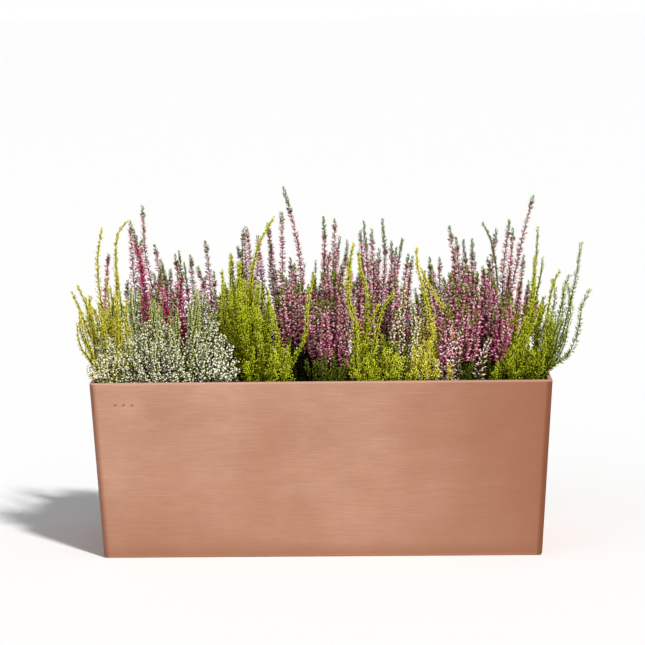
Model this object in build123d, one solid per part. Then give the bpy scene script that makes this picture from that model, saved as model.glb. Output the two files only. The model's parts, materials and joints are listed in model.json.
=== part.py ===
"""A self watering trough planter: tapered shell, lift-out liner, water gauge, wall hangers, heather.

Frame: origin at the centre of the flat base, +X to the right, +Y to the back, +Z up. Millimetres.
"""

from build123d import *

import math
import os

# ---- driving dimensions: outer shell
SHELL_WIDTH = 500.0
SHELL_DEPTH = 200.0
SHELL_HEIGHT = 195.0
DRAFT_RUN = 10.5  # how far each wall leans outward from the base to the rim
WALL = 5.0
FLOOR = 5.0
EDGE_RADIUS = 5.0
BASE_RADIUS = 2.5
RIM_RADIUS = 1.2
CAVITY_CORNER_R = 3.5
CAVITY_BASE_R = 2.0

# ---- three pressed drops on the front wall
DROP_FIRST_X = -222.0
DROP_PITCH = 9.0
DROP_Z = 171.5
DROP_R = 1.7
DROP_TIP_RISE = 4.2
DROP_DEPTH = 0.45

# ---- water space and liner
LINER_FLOOR_Z = 50.0
LINER_FLOOR_THICK = 3.0
LINER_RIM_Z = 179.0
LINER_WALL = 2.5
LINER_GAP = 1.5  # between the liner and the shell's walls
LINER_BASE_R = 1.5
LINER_CORNER_R = 2.0
RIM_BAND_HEIGHT = 5.0
RIM_BAND_EXTRA = 1.5
LEG_SIZE = 18.0
LEG_X = 205.0
LEG_Y = 62.0
SOIL_TOP_Z = 170.0
SOIL_GAP = 0.3  # between the soil and any wall that it leans on
SOIL_SEAM = 0.2  # between one block of soil and the next
SOIL_CORNER_R = 2.0

# ---- wick baskets
BASKET_X = 130.0
BASKET_R_TOP = 25.0
BASKET_R_LOW = 21.0
BASKET_WALL = 2.0
BASKET_LOW_Z = 6.0
BASKET_FLANGE_R = 29.0
BASKET_FLANGE_THICK = 2.0
BASKET_SLOTS = 8
BASKET_SLOT_LOW_Z = 12.0
BASKET_SLOT_HIGH_Z = 42.0
BASKET_SLOT_WIDTH = 2.5
HOLE_CLEARANCE = 0.2

# ---- pull-up handles of the liner
HANDLE_X = 231.0  # centre plane of a handle, from the middle of the planter
HANDLE_THICK = 4.0
HANDLE_LEG_Y = 28.0
HANDLE_LEG_WIDTH = 8.0
HANDLE_LOW_Z = 100.0
HANDLE_TOP_Z = 180.0
GRIP_HEIGHT = 8.0
GRIP_THICK = 7.0
GRIP_EDGE_R = 2.5
TOE_HEIGHT = 6.0
TOE_EXTRA = 3.0
GUIDE_LOW_Z = 152.0
GUIDE_TOP_Z = 166.0
GUIDE_WALL = 3.0
GUIDE_CLEARANCE = 0.1
POCKET_X = 221.0  # inner face of the wall that keeps soil away from a handle
POCKET_HALF_Y = 42.0
POCKET_FLOOR_Z = 96.0
POCKET_WALL = 2.0

# ---- filler tube and cap
FILLER_X = -40.0
FILLER_Y = 58.0
FILLER_R = 17.0
FILLER_BORE_R = 14.5
FILLER_LOW_Z = 18.0
FILLER_TOP_Z = 186.0
FLANGE_THICK = 3.0  # the flange that stands on the liner's floor, on the filler and the gauge alike
FLANGE_EXTRA_R = 4.0
COLLAR_R = 19.5
COLLAR_HEIGHT = 8.0
CAP_THICK = 3.0
CAP_EDGE_R = 1.2
CAP_TAB_HALF_X = 6.0
CAP_TAB_REACH = 4.0
CAP_RIB_HALF_Y = 10.0
HINGE_Y = FILLER_Y + 22.5
HINGE_Z = FILLER_TOP_Z + 1.5
BARREL_R = 3.0
PIN_R = 1.4
PIN_CLEARANCE = 0.05
KNUCKLE_WIDTH = 8.0
EAR_GAP = 0.3
EAR_WIDTH = 5.0

# ---- water gauge
GAUGE_X = 8.0
GAUGE_Y = 60.0
GAUGE_R = 10.0
GAUGE_BORE_R = 8.0
GAUGE_LOW_Z = 6.0
WINDOW_LOW_Z = 146.0
WINDOW_TOP_Z = 190.0
WINDOW_DOME_R = 3.0
WINDOW_TOP_THICK = 1.6
GAUGE_SLOT_WIDTH = 3.0
GAUGE_SLOT_TOP_Z = 30.0
FLOAT_R = 7.5
FLOAT_HEIGHT = 22.0
FLOAT_LOW_Z = 8.3
ROD_R = 1.5
TIP_R = 6.0
TIP_LOW_Z = 150.0
TIP_HEIGHT = 4.0

# ---- drain plug
DRAIN_Y = -40.0
DRAIN_HOLE_R = 7.05
DRAIN_SHANK_R = 7.0
DRAIN_POCKET_R = 13.6
DRAIN_POCKET_DEPTH = 3.0
DRAIN_BOSS_R = 17.0
DRAIN_BOSS_TOP_Z = 9.0
PLUG_FLANGE_Z = (0.4, 1.6)
PLUG_SHANK_TOP_Z = 9.5
PLUG_NOSE_HEIGHT = 2.5
COIN_SLOT_HALF_X = 9.0
SEAL_R = 12.5

# ---- overflow fitting in the back wall
OVERFLOW_X = 62.0
OVERFLOW_Z = 44.0
OVERFLOW_PAD_Y = 97.0
OVERFLOW_R = 6.0
OVERFLOW_BORE_R = 4.0
OVERFLOW_PAD_R = 12.0
OVERFLOW_FLANGE_R = 10.0
OVERFLOW_INNER_Y = 87.4
OVERFLOW_SPOUT_Y = 104.0

# ---- wall hangers
HANGER_X = 150.0
HANGER_WIDTH = 40.0
STRAP_THICK = 4.0
STRAP_LOW_Z = 52.0
ARM_Z = 130.0  # underside of the fixed arm
ARM_END_Y = 254.0
PAD_FACE_Y = 100.0  # upright back face of the moulded pads
PAD_ROOT_Y = 91.5  # where the pads start, inside the wall
PAD_HALF_X = 26.0
PAD_TOP_Z = 122.0
BEND_R = 6.0
BOLT_ZS = (68.0, 108.0)
BOLT_R = 2.45
BOLT_HEAD_R = 5.0
INSERT_R = 4.0
INSERT_LENGTH = 7.0
INSERT_END_GAP = 0.5
BOLT_HEAD_HEIGHT = 3.0
BOLT_SOCKET_R = 1.7
BOLT_REACH = 6.0
SLOT_LOW_Y = 141.0
SLOT_HIGH_Y = 240.0
SLOT_WIDTH = 8.4
HOOK_START_Y = 160.0
LIP_OUTER_Y = 290.0
LIP_LOW_Z = 60.0
CLAMP_Y = 180.0
CLAMP_R = 4.0
CLAMP_CLEARANCE = 0.05
CLAMP_HEAD_R = 9.0
CLAMP_HEAD_THICK = 3.5
CLAMP_TOP_Z = 160.0
WASHER_R = 10.0
WASHER_THICK = 1.6
NUT_HEIGHT = 9.0
NUT_LOW_R = 8.0
NUT_TOP_R = 6.3
WING_LENGTH = 11.0
WING_WIDTH = 10.0
WING_THICK = 2.8
WING_LEAN = 52.0
WING_OUT = 9.5
ARM_PAD_THICK = 6.0
ARM_PAD_ENDS_Y = (128.0, 242.0)  # clear of the clamp bolt's head over its whole slot
ARM_PAD_HALF_X = 18.0
LIP_PAD_THICK = 6.0
LIP_PAD_HALF_X = 17.0
LIP_PAD_Z = (64.0, 108.0)
BUMPER_X = 150.0
BUMPER_Z = 21.0
BUMPER_R = 12.0
BUMPER_PAD_Y = 94.0
BUMPER_RECESS = 8.0
SCREW_R = 1.7
SCREW_REACH = 6.0
SCREW_HEAD_R = 4.0
SCREW_HEAD_HEIGHT = 2.6
CROSS_LONG = 2.6  # half length of one arm of the screw's cross
CROSS_SHORT = 0.5
CROSS_DEPTH = 1.4
WALL_FACE_Y = 110.0  # where the bumpers meet the wall

SIDES = {"left": -1, "right": 1}


def outer_half_width(z):
    return SHELL_WIDTH / 2 - DRAFT_RUN * (1 - z / SHELL_HEIGHT)


def outer_half_depth(z):
    return SHELL_DEPTH / 2 - DRAFT_RUN * (1 - z / SHELL_HEIGHT)


def tapered_block(inset, low_z, high_z, radius):
    """A block that follows the shell's draft, its sides inset from the shell's outer faces."""
    sections = []
    for z in (low_z, high_z):
        width = 2 * (outer_half_width(z) - inset)
        depth = 2 * (outer_half_depth(z) - inset)
        sections.append(Pos(0, 0, z) * RectangleRounded(width, depth, radius))
    return loft(sections, ruled=True)


def block(x, y, z):
    """A box from three (low, high) pairs."""
    size = [pair[1] - pair[0] for pair in (x, y, z)]
    middle = [(pair[1] + pair[0]) / 2 for pair in (x, y, z)]
    return Pos(*middle) * Box(*size)


def upright(x, y, low_z, high_z, radius):
    """An upright round rod."""
    return Pos(x, y, (low_z + high_z) / 2) * Cylinder(radius, high_z - low_z)


def upright_tube(x, y, low_z, high_z, radius, bore):
    return upright(x, y, low_z, high_z, radius) - upright(x, y, low_z - 1, high_z + 1, bore)


def along_y(x, z, low_y, high_y, radius):
    """A round rod that runs from front to back."""
    rod = Rot(90, 0, 0) * Cylinder(radius, high_y - low_y)
    return Pos(x, (low_y + high_y) / 2, z) * rod


def along_x(low_x, high_x, y, z, radius):
    """A round rod that runs from left to right."""
    rod = Rot(0, 90, 0) * Cylinder(radius, high_x - low_x)
    return Pos((low_x + high_x) / 2, y, z) * rod


def write(name, *solids):
    """One STEP for one named piece, or for a group of identical ones."""
    shape = solids[0] if len(solids) == 1 else Compound(children=list(solids))
    if isinstance(shape, (list, ShapeList)):
        shape = Compound(children=list(shape))
    export_step(shape, "parts/" + name + ".step")


# ---- outer shell -----------------------------------------------------------

def drop_mark():
    """Three small water drops pressed into the front wall, near its top left corner."""
    tilt = math.degrees(math.atan(DRAFT_RUN / SHELL_HEIGHT))
    side_length = math.sqrt(DROP_TIP_RISE ** 2 - DROP_R ** 2)
    touch_x = DROP_R * side_length / DROP_TIP_RISE
    touch_z = DROP_R ** 2 / DROP_TIP_RISE
    tip = Polygon((-touch_x, touch_z), (touch_x, touch_z), (0, DROP_TIP_RISE), align=None)
    outline = Circle(DROP_R) + tip
    drops = []
    for step in range(3):
        centre = Vector(DROP_FIRST_X + DROP_PITCH * step, -outer_half_depth(DROP_Z), DROP_Z)
        plane = Plane(origin=centre, x_dir=(1, 0, 0), z_dir=(0, -1, 0))
        face = plane * Rot(-tilt, 0, 0) * outline
        drops.append(extrude(face, amount=DROP_DEPTH, dir=(0, 1, 0)))
    return drops


def hanger_pad(side):
    """The raised pad that one hanger plate is bolted to."""
    x = side * HANGER_X
    pad = block((x - PAD_HALF_X, x + PAD_HALF_X), (PAD_ROOT_Y, PAD_FACE_Y), (STRAP_LOW_Z, PAD_TOP_Z))
    return fillet(pad.edges().filter_by(Axis.Y), 6)


def outer_shell():
    body = tapered_block(0, 0, SHELL_HEIGHT, EDGE_RADIUS)
    body = fillet(body.edges().group_by(Axis.Z)[0], BASE_RADIUS)
    cavity = tapered_block(WALL, FLOOR, SHELL_HEIGHT, CAVITY_CORNER_R)
    cavity = fillet(cavity.edges().group_by(Axis.Z)[0], CAVITY_BASE_R)
    shell = body - cavity
    shell = fillet(shell.edges().group_by(Axis.Z)[-1], RIM_RADIUS)
    for side in SIDES.values():
        shell += hanger_pad(side)
        shell += along_y(side * BUMPER_X, BUMPER_Z, BUMPER_PAD_Y - 6, BUMPER_PAD_Y, BUMPER_R + 3)
        for z in BOLT_ZS:
            depth = INSERT_LENGTH + INSERT_END_GAP
            shell -= along_y(side * HANGER_X, z, PAD_FACE_Y - depth, PAD_FACE_Y + 1, INSERT_R)
        hole_start = BUMPER_PAD_Y - SCREW_REACH - 0.5
        shell -= along_y(side * BUMPER_X, BUMPER_Z, hole_start, BUMPER_PAD_Y + 1, SCREW_R + 0.05)
    shell += along_y(OVERFLOW_X, OVERFLOW_Z, OVERFLOW_PAD_Y - 8, OVERFLOW_PAD_Y, OVERFLOW_PAD_R)
    shell -= along_y(OVERFLOW_X, OVERFLOW_Z, 80, OVERFLOW_PAD_Y + 1, OVERFLOW_R)
    shell += upright(0, DRAIN_Y, FLOOR - 1, DRAIN_BOSS_TOP_Z, DRAIN_BOSS_R)
    shell -= upright(0, DRAIN_Y, -1, DRAIN_BOSS_TOP_Z + 1, DRAIN_HOLE_R)
    shell -= upright(0, DRAIN_Y, -1, DRAIN_POCKET_DEPTH, DRAIN_POCKET_R)
    for drop in drop_mark():
        shell -= drop
    return shell


def overflow_fitting():
    fitting = along_y(OVERFLOW_X, OVERFLOW_Z, OVERFLOW_INNER_Y, OVERFLOW_SPOUT_Y, OVERFLOW_R)
    fitting += along_y(OVERFLOW_X, OVERFLOW_Z, OVERFLOW_PAD_Y, OVERFLOW_PAD_Y + 2, OVERFLOW_FLANGE_R)
    return fitting - along_y(
        OVERFLOW_X, OVERFLOW_Z, OVERFLOW_INNER_Y - 1, OVERFLOW_SPOUT_Y + 1, OVERFLOW_BORE_R)


def drain_plug():
    flange_low, flange_high = PLUG_FLANGE_Z
    plug = upright(0, DRAIN_Y, flange_low, flange_high, DRAIN_POCKET_R - 0.5)
    plug += upright(0, DRAIN_Y, flange_high, PLUG_SHANK_TOP_Z, DRAIN_SHANK_R)
    nose = Cone(DRAIN_SHANK_R, DRAIN_SHANK_R - 1.5, PLUG_NOSE_HEIGHT)
    plug += Pos(0, DRAIN_Y, PLUG_SHANK_TOP_Z + PLUG_NOSE_HEIGHT / 2) * nose
    coin_slot = block((-COIN_SLOT_HALF_X, COIN_SLOT_HALF_X), (DRAIN_Y - 1, DRAIN_Y + 1), (0, 1.2))
    return plug - coin_slot


def drain_plug_seal():
    top_z = DRAIN_POCKET_DEPTH - 0.05
    return upright_tube(0, DRAIN_Y, PLUG_FLANGE_Z[1], top_z, SEAL_R, DRAIN_SHANK_R + 0.1)


# ---- liner -----------------------------------------------------------------

def liner_inner_inset():
    return WALL + LINER_GAP + LINER_WALL


def handle_guide(side, leg_side):
    """A loop on the liner's end wall that a handle's leg slides through."""
    inner_x = HANDLE_X - HANDLE_THICK / 2 - GUIDE_WALL
    wall_x = outer_half_width(GUIDE_LOW_Z) - liner_inner_inset() + 1
    half_y = HANDLE_LEG_WIDTH / 2 + GUIDE_WALL
    centre_y = leg_side * HANDLE_LEG_Y
    guide = block((inner_x, wall_x), (centre_y - half_y, centre_y + half_y), (GUIDE_LOW_Z, GUIDE_TOP_Z))
    slot_x = HANDLE_THICK / 2 + GUIDE_CLEARANCE
    slot_y = HANDLE_LEG_WIDTH / 2 + GUIDE_CLEARANCE
    guide -= block(
        (HANDLE_X - slot_x, HANDLE_X + slot_x),
        (centre_y - slot_y, centre_y + slot_y),
        (GUIDE_LOW_Z - 1, GUIDE_TOP_Z + 1))
    return guide if side > 0 else guide.mirror(Plane.YZ)


def handle_pocket(side):
    """Thin walls that keep soil away from one handle, open at the top."""
    low_z = POCKET_FLOOR_Z - POCKET_WALL
    half_y = POCKET_HALF_Y + POCKET_WALL
    top_z = LINER_RIM_Z - 4
    outside = block((POCKET_X - POCKET_WALL, 260), (-half_y, half_y), (low_z, top_z))
    inside = block((POCKET_X, 261), (-POCKET_HALF_Y, POCKET_HALF_Y), (POCKET_FLOOR_Z, top_z + 1))
    keep = tapered_block(liner_inner_inset() - 1, low_z - 1, LINER_RIM_Z, 2)
    pocket = (outside - inside) & keep
    return pocket if side > 0 else pocket.mirror(Plane.YZ)


def floor_hole(x, y, radius):
    """What is cut out of the liner's floor for a piece that stands through it."""
    return upright(x, y, LINER_FLOOR_Z - 1, LINER_FLOOR_Z + 2 * LINER_FLOOR_THICK, radius)


def planting_liner():
    top = LINER_RIM_Z
    body = tapered_block(WALL + LINER_GAP, LINER_FLOOR_Z, top, CAVITY_CORNER_R)
    body = fillet(body.edges().group_by(Axis.Z)[0], LINER_BASE_R)
    hollow = tapered_block(liner_inner_inset(), LINER_FLOOR_Z + LINER_FLOOR_THICK, top, LINER_CORNER_R)
    liner = body - hollow
    band_low = top - RIM_BAND_HEIGHT
    rim_band = tapered_block(WALL + LINER_GAP, band_low, top, CAVITY_CORNER_R)
    rim_band -= tapered_block(liner_inner_inset() + RIM_BAND_EXTRA, band_low, top, LINER_CORNER_R)
    liner += rim_band
    for x in (-LEG_X, LEG_X):
        for y in (-LEG_Y, LEG_Y):
            half = LEG_SIZE / 2
            liner += block((x - half, x + half), (y - half, y + half), (FLOOR, LINER_FLOOR_Z + 1))
    for side in SIDES.values():
        liner += handle_pocket(side)
        liner += handle_guide(side, -1)
        liner += handle_guide(side, 1)
        liner -= floor_hole(side * BASKET_X, 0, BASKET_R_TOP + HOLE_CLEARANCE)
    liner -= floor_hole(FILLER_X, FILLER_Y, FILLER_R + 0.05)
    liner -= floor_hole(GAUGE_X, GAUGE_Y, GAUGE_R + 0.05)
    return liner


def wick_basket(side):
    x = side * BASKET_X
    top_z = LINER_FLOOR_Z + LINER_FLOOR_THICK
    height = top_z - BASKET_LOW_Z
    middle = Pos(x, 0, (top_z + BASKET_LOW_Z) / 2)
    cup = middle * Cone(BASKET_R_LOW, BASKET_R_TOP, height)
    cup += upright(x, 0, top_z, top_z + BASKET_FLANGE_THICK, BASKET_FLANGE_R)
    inside_height = height + BASKET_FLANGE_THICK - BASKET_WALL
    inside_z = BASKET_LOW_Z + BASKET_WALL + inside_height / 2
    inside = Cone(BASKET_R_LOW - BASKET_WALL, BASKET_R_TOP - BASKET_WALL, inside_height)
    cup -= Pos(x, 0, inside_z) * inside
    half = BASKET_SLOT_WIDTH / 2
    for step in range(BASKET_SLOTS):
        slot = block((15, 30), (-half, half), (BASKET_SLOT_LOW_Z, BASKET_SLOT_HIGH_Z))
        cup -= Pos(x, 0, 0) * Rot(0, 0, step * 360 / BASKET_SLOTS) * slot
    return cup


def potting_soil():
    """The soil: a middle block, three blocks round each handle's pocket, a plug in each wick basket."""
    floor_z = LINER_FLOOR_Z + LINER_FLOOR_THICK
    mass = tapered_block(liner_inner_inset() + SOIL_GAP, floor_z, SOIL_TOP_Z, SOIL_CORNER_R)
    flange_top = floor_z + FLANGE_THICK + SOIL_GAP
    for x, y, radius in ((FILLER_X, FILLER_Y, FILLER_R), (GAUGE_X, GAUGE_Y, GAUGE_R)):
        mass -= upright(x, y, floor_z - 1, SOIL_TOP_Z + 1, radius + SOIL_GAP)
        mass -= upright(x, y, floor_z - 1, flange_top, radius + FLANGE_EXTRA_R + SOIL_GAP)
    plug_top = floor_z + BASKET_FLANGE_THICK + SOIL_GAP
    for side in SIDES.values():
        mass -= upright(side * BASKET_X, 0, floor_z - 1, plug_top, BASKET_FLANGE_R + SOIL_GAP)
    pocket_y = POCKET_HALF_Y + POCKET_WALL + SOIL_GAP
    pocket_x = POCKET_X - POCKET_WALL - SOIL_GAP
    pocket_z = POCKET_FLOOR_Z - POCKET_WALL - SOIL_GAP
    full_y = SHELL_DEPTH / 2
    solids = [mass & block((-pocket_x, pocket_x), (-full_y, full_y), (0, SOIL_TOP_Z + 1))]
    for side in SIDES.values():
        end_x = sorted((side * (pocket_x + SOIL_SEAM), side * SHELL_WIDTH / 2))
        below = (SOIL_SEAM - pocket_y, pocket_y - SOIL_SEAM)
        for y_range, top in (
                ((-full_y, -pocket_y), SOIL_TOP_Z + 1), (below, pocket_z), ((pocket_y, full_y), SOIL_TOP_Z + 1)):
            solids.append(mass & block(end_x, y_range, (0, top)))
        solids.append(wick_plug(side, plug_top - SOIL_SEAM))
    return solids


def wick_plug(side, top_z):
    """Soil that fills a wick basket and draws the water up."""
    low_z = BASKET_LOW_Z + BASKET_WALL + SOIL_GAP
    top_r = BASKET_R_TOP - BASKET_WALL - 2 * SOIL_GAP
    low_r = BASKET_R_LOW - BASKET_WALL - 2 * SOIL_GAP
    return Pos(side * BASKET_X, 0, (top_z + low_z) / 2) * Cone(low_r, top_r, top_z - low_z)


def liner_handle(side):
    """A flat U with its grip at the liner's rim and a toe under each guide as the stop."""
    half = HANDLE_THICK / 2
    half_y = HANDLE_LEG_Y + HANDLE_LEG_WIDTH / 2
    grip_low = HANDLE_TOP_Z - GRIP_HEIGHT
    grip = block(
        (HANDLE_X - GRIP_THICK / 2, HANDLE_X + GRIP_THICK / 2), (-half_y, half_y), (grip_low, HANDLE_TOP_Z))
    handle = fillet(grip.edges().filter_by(Axis.Y), GRIP_EDGE_R)
    for leg_side in (-1, 1):
        y = leg_side * HANDLE_LEG_Y
        leg_y = (y - HANDLE_LEG_WIDTH / 2, y + HANDLE_LEG_WIDTH / 2)
        handle += block((HANDLE_X - half, HANDLE_X + half), leg_y, (HANDLE_LOW_Z, grip_low + 1))
        toe_y = (leg_y[0] - TOE_EXTRA, leg_y[1] + TOE_EXTRA)
        handle += block((HANDLE_X - half, HANDLE_X + half), toe_y, (HANDLE_LOW_Z, HANDLE_LOW_Z + TOE_HEIGHT))
    return handle if side > 0 else handle.mirror(Plane.YZ)


# ---- filler ----------------------------------------------------------------

def knuckle(low_x, high_x):
    """A hinge barrel, before the pin's hole."""
    return along_x(low_x, high_x, HINGE_Y, HINGE_Z, BARREL_R)


def filler_tube():
    tube = upright(FILLER_X, FILLER_Y, FILLER_LOW_Z, FILLER_TOP_Z, FILLER_R)
    floor_z = LINER_FLOOR_Z + LINER_FLOOR_THICK
    tube += upright(FILLER_X, FILLER_Y, floor_z, floor_z + FLANGE_THICK, FILLER_R + FLANGE_EXTRA_R)
    collar_low = FILLER_TOP_Z - COLLAR_HEIGHT
    tube += upright(FILLER_X, FILLER_Y, collar_low, FILLER_TOP_Z, COLLAR_R)
    for ear_side in (-1, 1):
        inner = FILLER_X + ear_side * (KNUCKLE_WIDTH / 2 + EAR_GAP)
        outer = inner + ear_side * EAR_WIDTH
        low_x, high_x = sorted((inner, outer))
        tube += knuckle(low_x, high_x)
        web_y = (FILLER_Y + FILLER_R - 3, HINGE_Y + BARREL_R)
        tube += block((low_x, high_x), web_y, (collar_low, FILLER_TOP_Z - 0.6))
    tube -= along_x(FILLER_X - 12, FILLER_X + 12, HINGE_Y, HINGE_Z, PIN_R)
    bore = upright(FILLER_X, FILLER_Y, FILLER_LOW_Z - 1, FILLER_TOP_Z + 1, FILLER_BORE_R)
    return tube - bore


def filler_cap():
    """A flat round lid with a finger tab at the front and a hinge barrel at the back."""
    top_z = FILLER_TOP_Z + CAP_THICK
    lid_r = COLLAR_R - 0.5
    cap = upright(FILLER_X, FILLER_Y, FILLER_TOP_Z, top_z, lid_r)
    cap = fillet(cap.edges().group_by(Axis.Z)[-1], CAP_EDGE_R)
    tab_x = (FILLER_X - CAP_TAB_HALF_X, FILLER_X + CAP_TAB_HALF_X)
    tab = block(tab_x, (FILLER_Y - COLLAR_R - CAP_TAB_REACH, FILLER_Y), (FILLER_TOP_Z, top_z))
    cap += fillet(tab.edges().filter_by(Axis.Z), 2.5)
    half = KNUCKLE_WIDTH / 2
    web_y = (FILLER_Y + COLLAR_R - 6, HINGE_Y)
    cap += block((FILLER_X - half, FILLER_X + half), web_y, (FILLER_TOP_Z, top_z))
    cap += knuckle(FILLER_X - half, FILLER_X + half)
    rib_y = (FILLER_Y - CAP_RIB_HALF_Y, FILLER_Y + CAP_RIB_HALF_Y)
    for offset_x in (-6, -2, 2, 6):
        x = FILLER_X + offset_x
        cap += block((x - 0.6, x + 0.6), rib_y, (top_z - 0.5, top_z + 0.7))
    return cap - along_x(FILLER_X - 6, FILLER_X + 6, HINGE_Y, HINGE_Z, PIN_R + PIN_CLEARANCE)


def filler_cap_pin():
    half = KNUCKLE_WIDTH / 2 + EAR_GAP + EAR_WIDTH
    return along_x(FILLER_X - half, FILLER_X + half, HINGE_Y, HINGE_Z, PIN_R)


# ---- water gauge -----------------------------------------------------------

def gauge_tube():
    tube = upright(GAUGE_X, GAUGE_Y, GAUGE_LOW_Z, WINDOW_LOW_Z, GAUGE_R)
    floor_z = LINER_FLOOR_Z + LINER_FLOOR_THICK
    tube += upright(GAUGE_X, GAUGE_Y, floor_z, floor_z + FLANGE_THICK, GAUGE_R + FLANGE_EXTRA_R)
    tube -= upright(GAUGE_X, GAUGE_Y, GAUGE_LOW_Z + 2, WINDOW_LOW_Z + 1, GAUGE_BORE_R)
    half = GAUGE_SLOT_WIDTH / 2
    slot_x = (GAUGE_X - 20, GAUGE_X + 20)
    return tube - block(slot_x, (GAUGE_Y - half, GAUGE_Y + half), (GAUGE_LOW_Z + 3, GAUGE_SLOT_TOP_Z))


def gauge_window():
    window = upright(GAUGE_X, GAUGE_Y, WINDOW_LOW_Z, WINDOW_TOP_Z, GAUGE_R)
    window = fillet(window.edges().group_by(Axis.Z)[-1], WINDOW_DOME_R)
    inside_top = WINDOW_TOP_Z - WINDOW_TOP_THICK
    return window - upright(GAUGE_X, GAUGE_Y, WINDOW_LOW_Z - 1, inside_top, GAUGE_BORE_R)


def gauge_float():
    body = upright(GAUGE_X, GAUGE_Y, FLOAT_LOW_Z, FLOAT_LOW_Z + FLOAT_HEIGHT, FLOAT_R)
    return fillet(body.edges().filter_by(GeomType.CIRCLE), 2)


def indicator_rod():
    return upright(GAUGE_X, GAUGE_Y, FLOAT_LOW_Z + FLOAT_HEIGHT, TIP_LOW_Z, ROD_R)


def indicator_tip():
    tip = upright(GAUGE_X, GAUGE_Y, TIP_LOW_Z, TIP_LOW_Z + TIP_HEIGHT, TIP_R)
    return fillet(tip.edges().group_by(Axis.Z)[-1], 1.5)


# ---- wall hangers ----------------------------------------------------------

def bent_strap(x, outline, radius):
    """A flat strap of constant width, its side outline given in Y and Z, corners rounded."""
    plane = Plane(origin=(x - HANGER_WIDTH / 2, 0, 0), x_dir=(0, 1, 0), z_dir=(1, 0, 0))
    path = FilletPolyline(*outline, radius=radius)
    band = offset(path, amount=STRAP_THICK / 2, kind=Kind.INTERSECTION, side=Side.BOTH)
    face = plane * make_face(band)
    return extrude(face, amount=HANGER_WIDTH)


def hanger_plate(side):
    x = side * HANGER_X
    y = PAD_FACE_Y + STRAP_THICK / 2
    z = ARM_Z + STRAP_THICK / 2
    strap = bent_strap(x, [(y, STRAP_LOW_Z), (y, z), (ARM_END_Y, z)], BEND_R)
    for bolt_z in BOLT_ZS:
        strap -= along_y(x, bolt_z, PAD_FACE_Y - 1, PAD_FACE_Y + STRAP_THICK + 1, BOLT_R + 0.15)
    half = SLOT_WIDTH / 2
    slot = block((x - half, x + half), (SLOT_LOW_Y + half, SLOT_HIGH_Y - half), (ARM_Z - 1, ARM_Z + 6))
    for end_y in (SLOT_LOW_Y + half, SLOT_HIGH_Y - half):
        slot += upright(x, end_y, ARM_Z - 1, ARM_Z + 6, half)
    return strap - slot


def hanger_hook(side):
    x = side * HANGER_X
    y = LIP_OUTER_Y - STRAP_THICK / 2
    z = ARM_Z + 1.5 * STRAP_THICK
    hook = bent_strap(x, [(HOOK_START_Y, z), (y, z), (y, LIP_LOW_Z)], BEND_R)
    return hook - upright(x, CLAMP_Y, ARM_Z, ARM_Z + 12, CLAMP_R + 0.02)


def arm_pads(side):
    """Two rubber pads under one fixed arm."""
    x = side * HANGER_X
    pads = []
    for low_y, high_y in ((WALL_FACE_Y, ARM_PAD_ENDS_Y[0]), (ARM_PAD_ENDS_Y[1], ARM_END_Y)):
        pad = block(
            (x - ARM_PAD_HALF_X, x + ARM_PAD_HALF_X), (low_y, high_y), (ARM_Z - ARM_PAD_THICK, ARM_Z))
        pads.append(fillet(pad.edges().filter_by(Axis.Z), 3))
    return pads


def hook_pad(side):
    x = side * HANGER_X
    outer_y = LIP_OUTER_Y - STRAP_THICK
    pad = block((x - LIP_PAD_HALF_X, x + LIP_PAD_HALF_X), (outer_y - LIP_PAD_THICK, outer_y), LIP_PAD_Z)
    return fillet(pad.edges().filter_by(Axis.Y), 4)


def clamp_bolt(side):
    x = side * HANGER_X
    head_low = ARM_Z - CLAMP_HEAD_THICK
    head = upright(x, CLAMP_Y, head_low, ARM_Z, CLAMP_HEAD_R)
    head = fillet(head.edges().group_by(Axis.Z)[0], 2.5)
    shank = upright(x, CLAMP_Y, ARM_Z - 1, CLAMP_TOP_Z, CLAMP_R)
    shank = chamfer(shank.edges().group_by(Axis.Z)[-1], 0.8)
    return head + shank


def clamp_washer(side):
    low_z = ARM_Z + 2 * STRAP_THICK
    return upright_tube(side * HANGER_X, CLAMP_Y, low_z, low_z + WASHER_THICK, WASHER_R, CLAMP_R + 0.02)


def wing_nut(side):
    x = side * HANGER_X
    low_z = ARM_Z + 2 * STRAP_THICK + WASHER_THICK
    hub_top = low_z + NUT_HEIGHT
    nut = Pos(x, CLAMP_Y, (low_z + hub_top) / 2) * Cone(NUT_LOW_R, NUT_TOP_R, NUT_HEIGHT)
    for wing_side in (-1, 1):
        wing = SlotCenterToCenter(WING_LENGTH, WING_WIDTH, rotation=wing_side * WING_LEAN)
        wing_place = (x + wing_side * WING_OUT, CLAMP_Y + WING_THICK / 2, hub_top + 1)
        plane = Plane(origin=wing_place, x_dir=(1, 0, 0), z_dir=(0, -1, 0))
        nut += extrude(plane * wing, amount=WING_THICK)
    return nut - upright(x, CLAMP_Y, low_z - 1, hub_top + 12, CLAMP_R + CLAMP_CLEARANCE)


def threaded_insert(side, z):
    insert = along_y(side * HANGER_X, z, PAD_FACE_Y - INSERT_LENGTH, PAD_FACE_Y, INSERT_R)
    return insert - along_y(side * HANGER_X, z, PAD_FACE_Y - INSERT_LENGTH - 1, PAD_FACE_Y + 1, BOLT_R + 0.05)


def hanger_bolt(side, z):
    x = side * HANGER_X
    face_y = PAD_FACE_Y + STRAP_THICK
    head = along_y(x, z, face_y, face_y + BOLT_HEAD_HEIGHT, BOLT_HEAD_R)
    head = fillet(head.edges().group_by(Axis.Y)[-1], 1.5)
    socket = RegularPolygon(BOLT_SOCKET_R, 6)
    plane = Plane(origin=(x, face_y + BOLT_HEAD_HEIGHT, z), x_dir=(1, 0, 0), z_dir=(0, -1, 0))
    head -= extrude(plane * socket, amount=2)
    return head + along_y(x, z, PAD_FACE_Y - BOLT_REACH, face_y + 0.5, BOLT_R)


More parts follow.
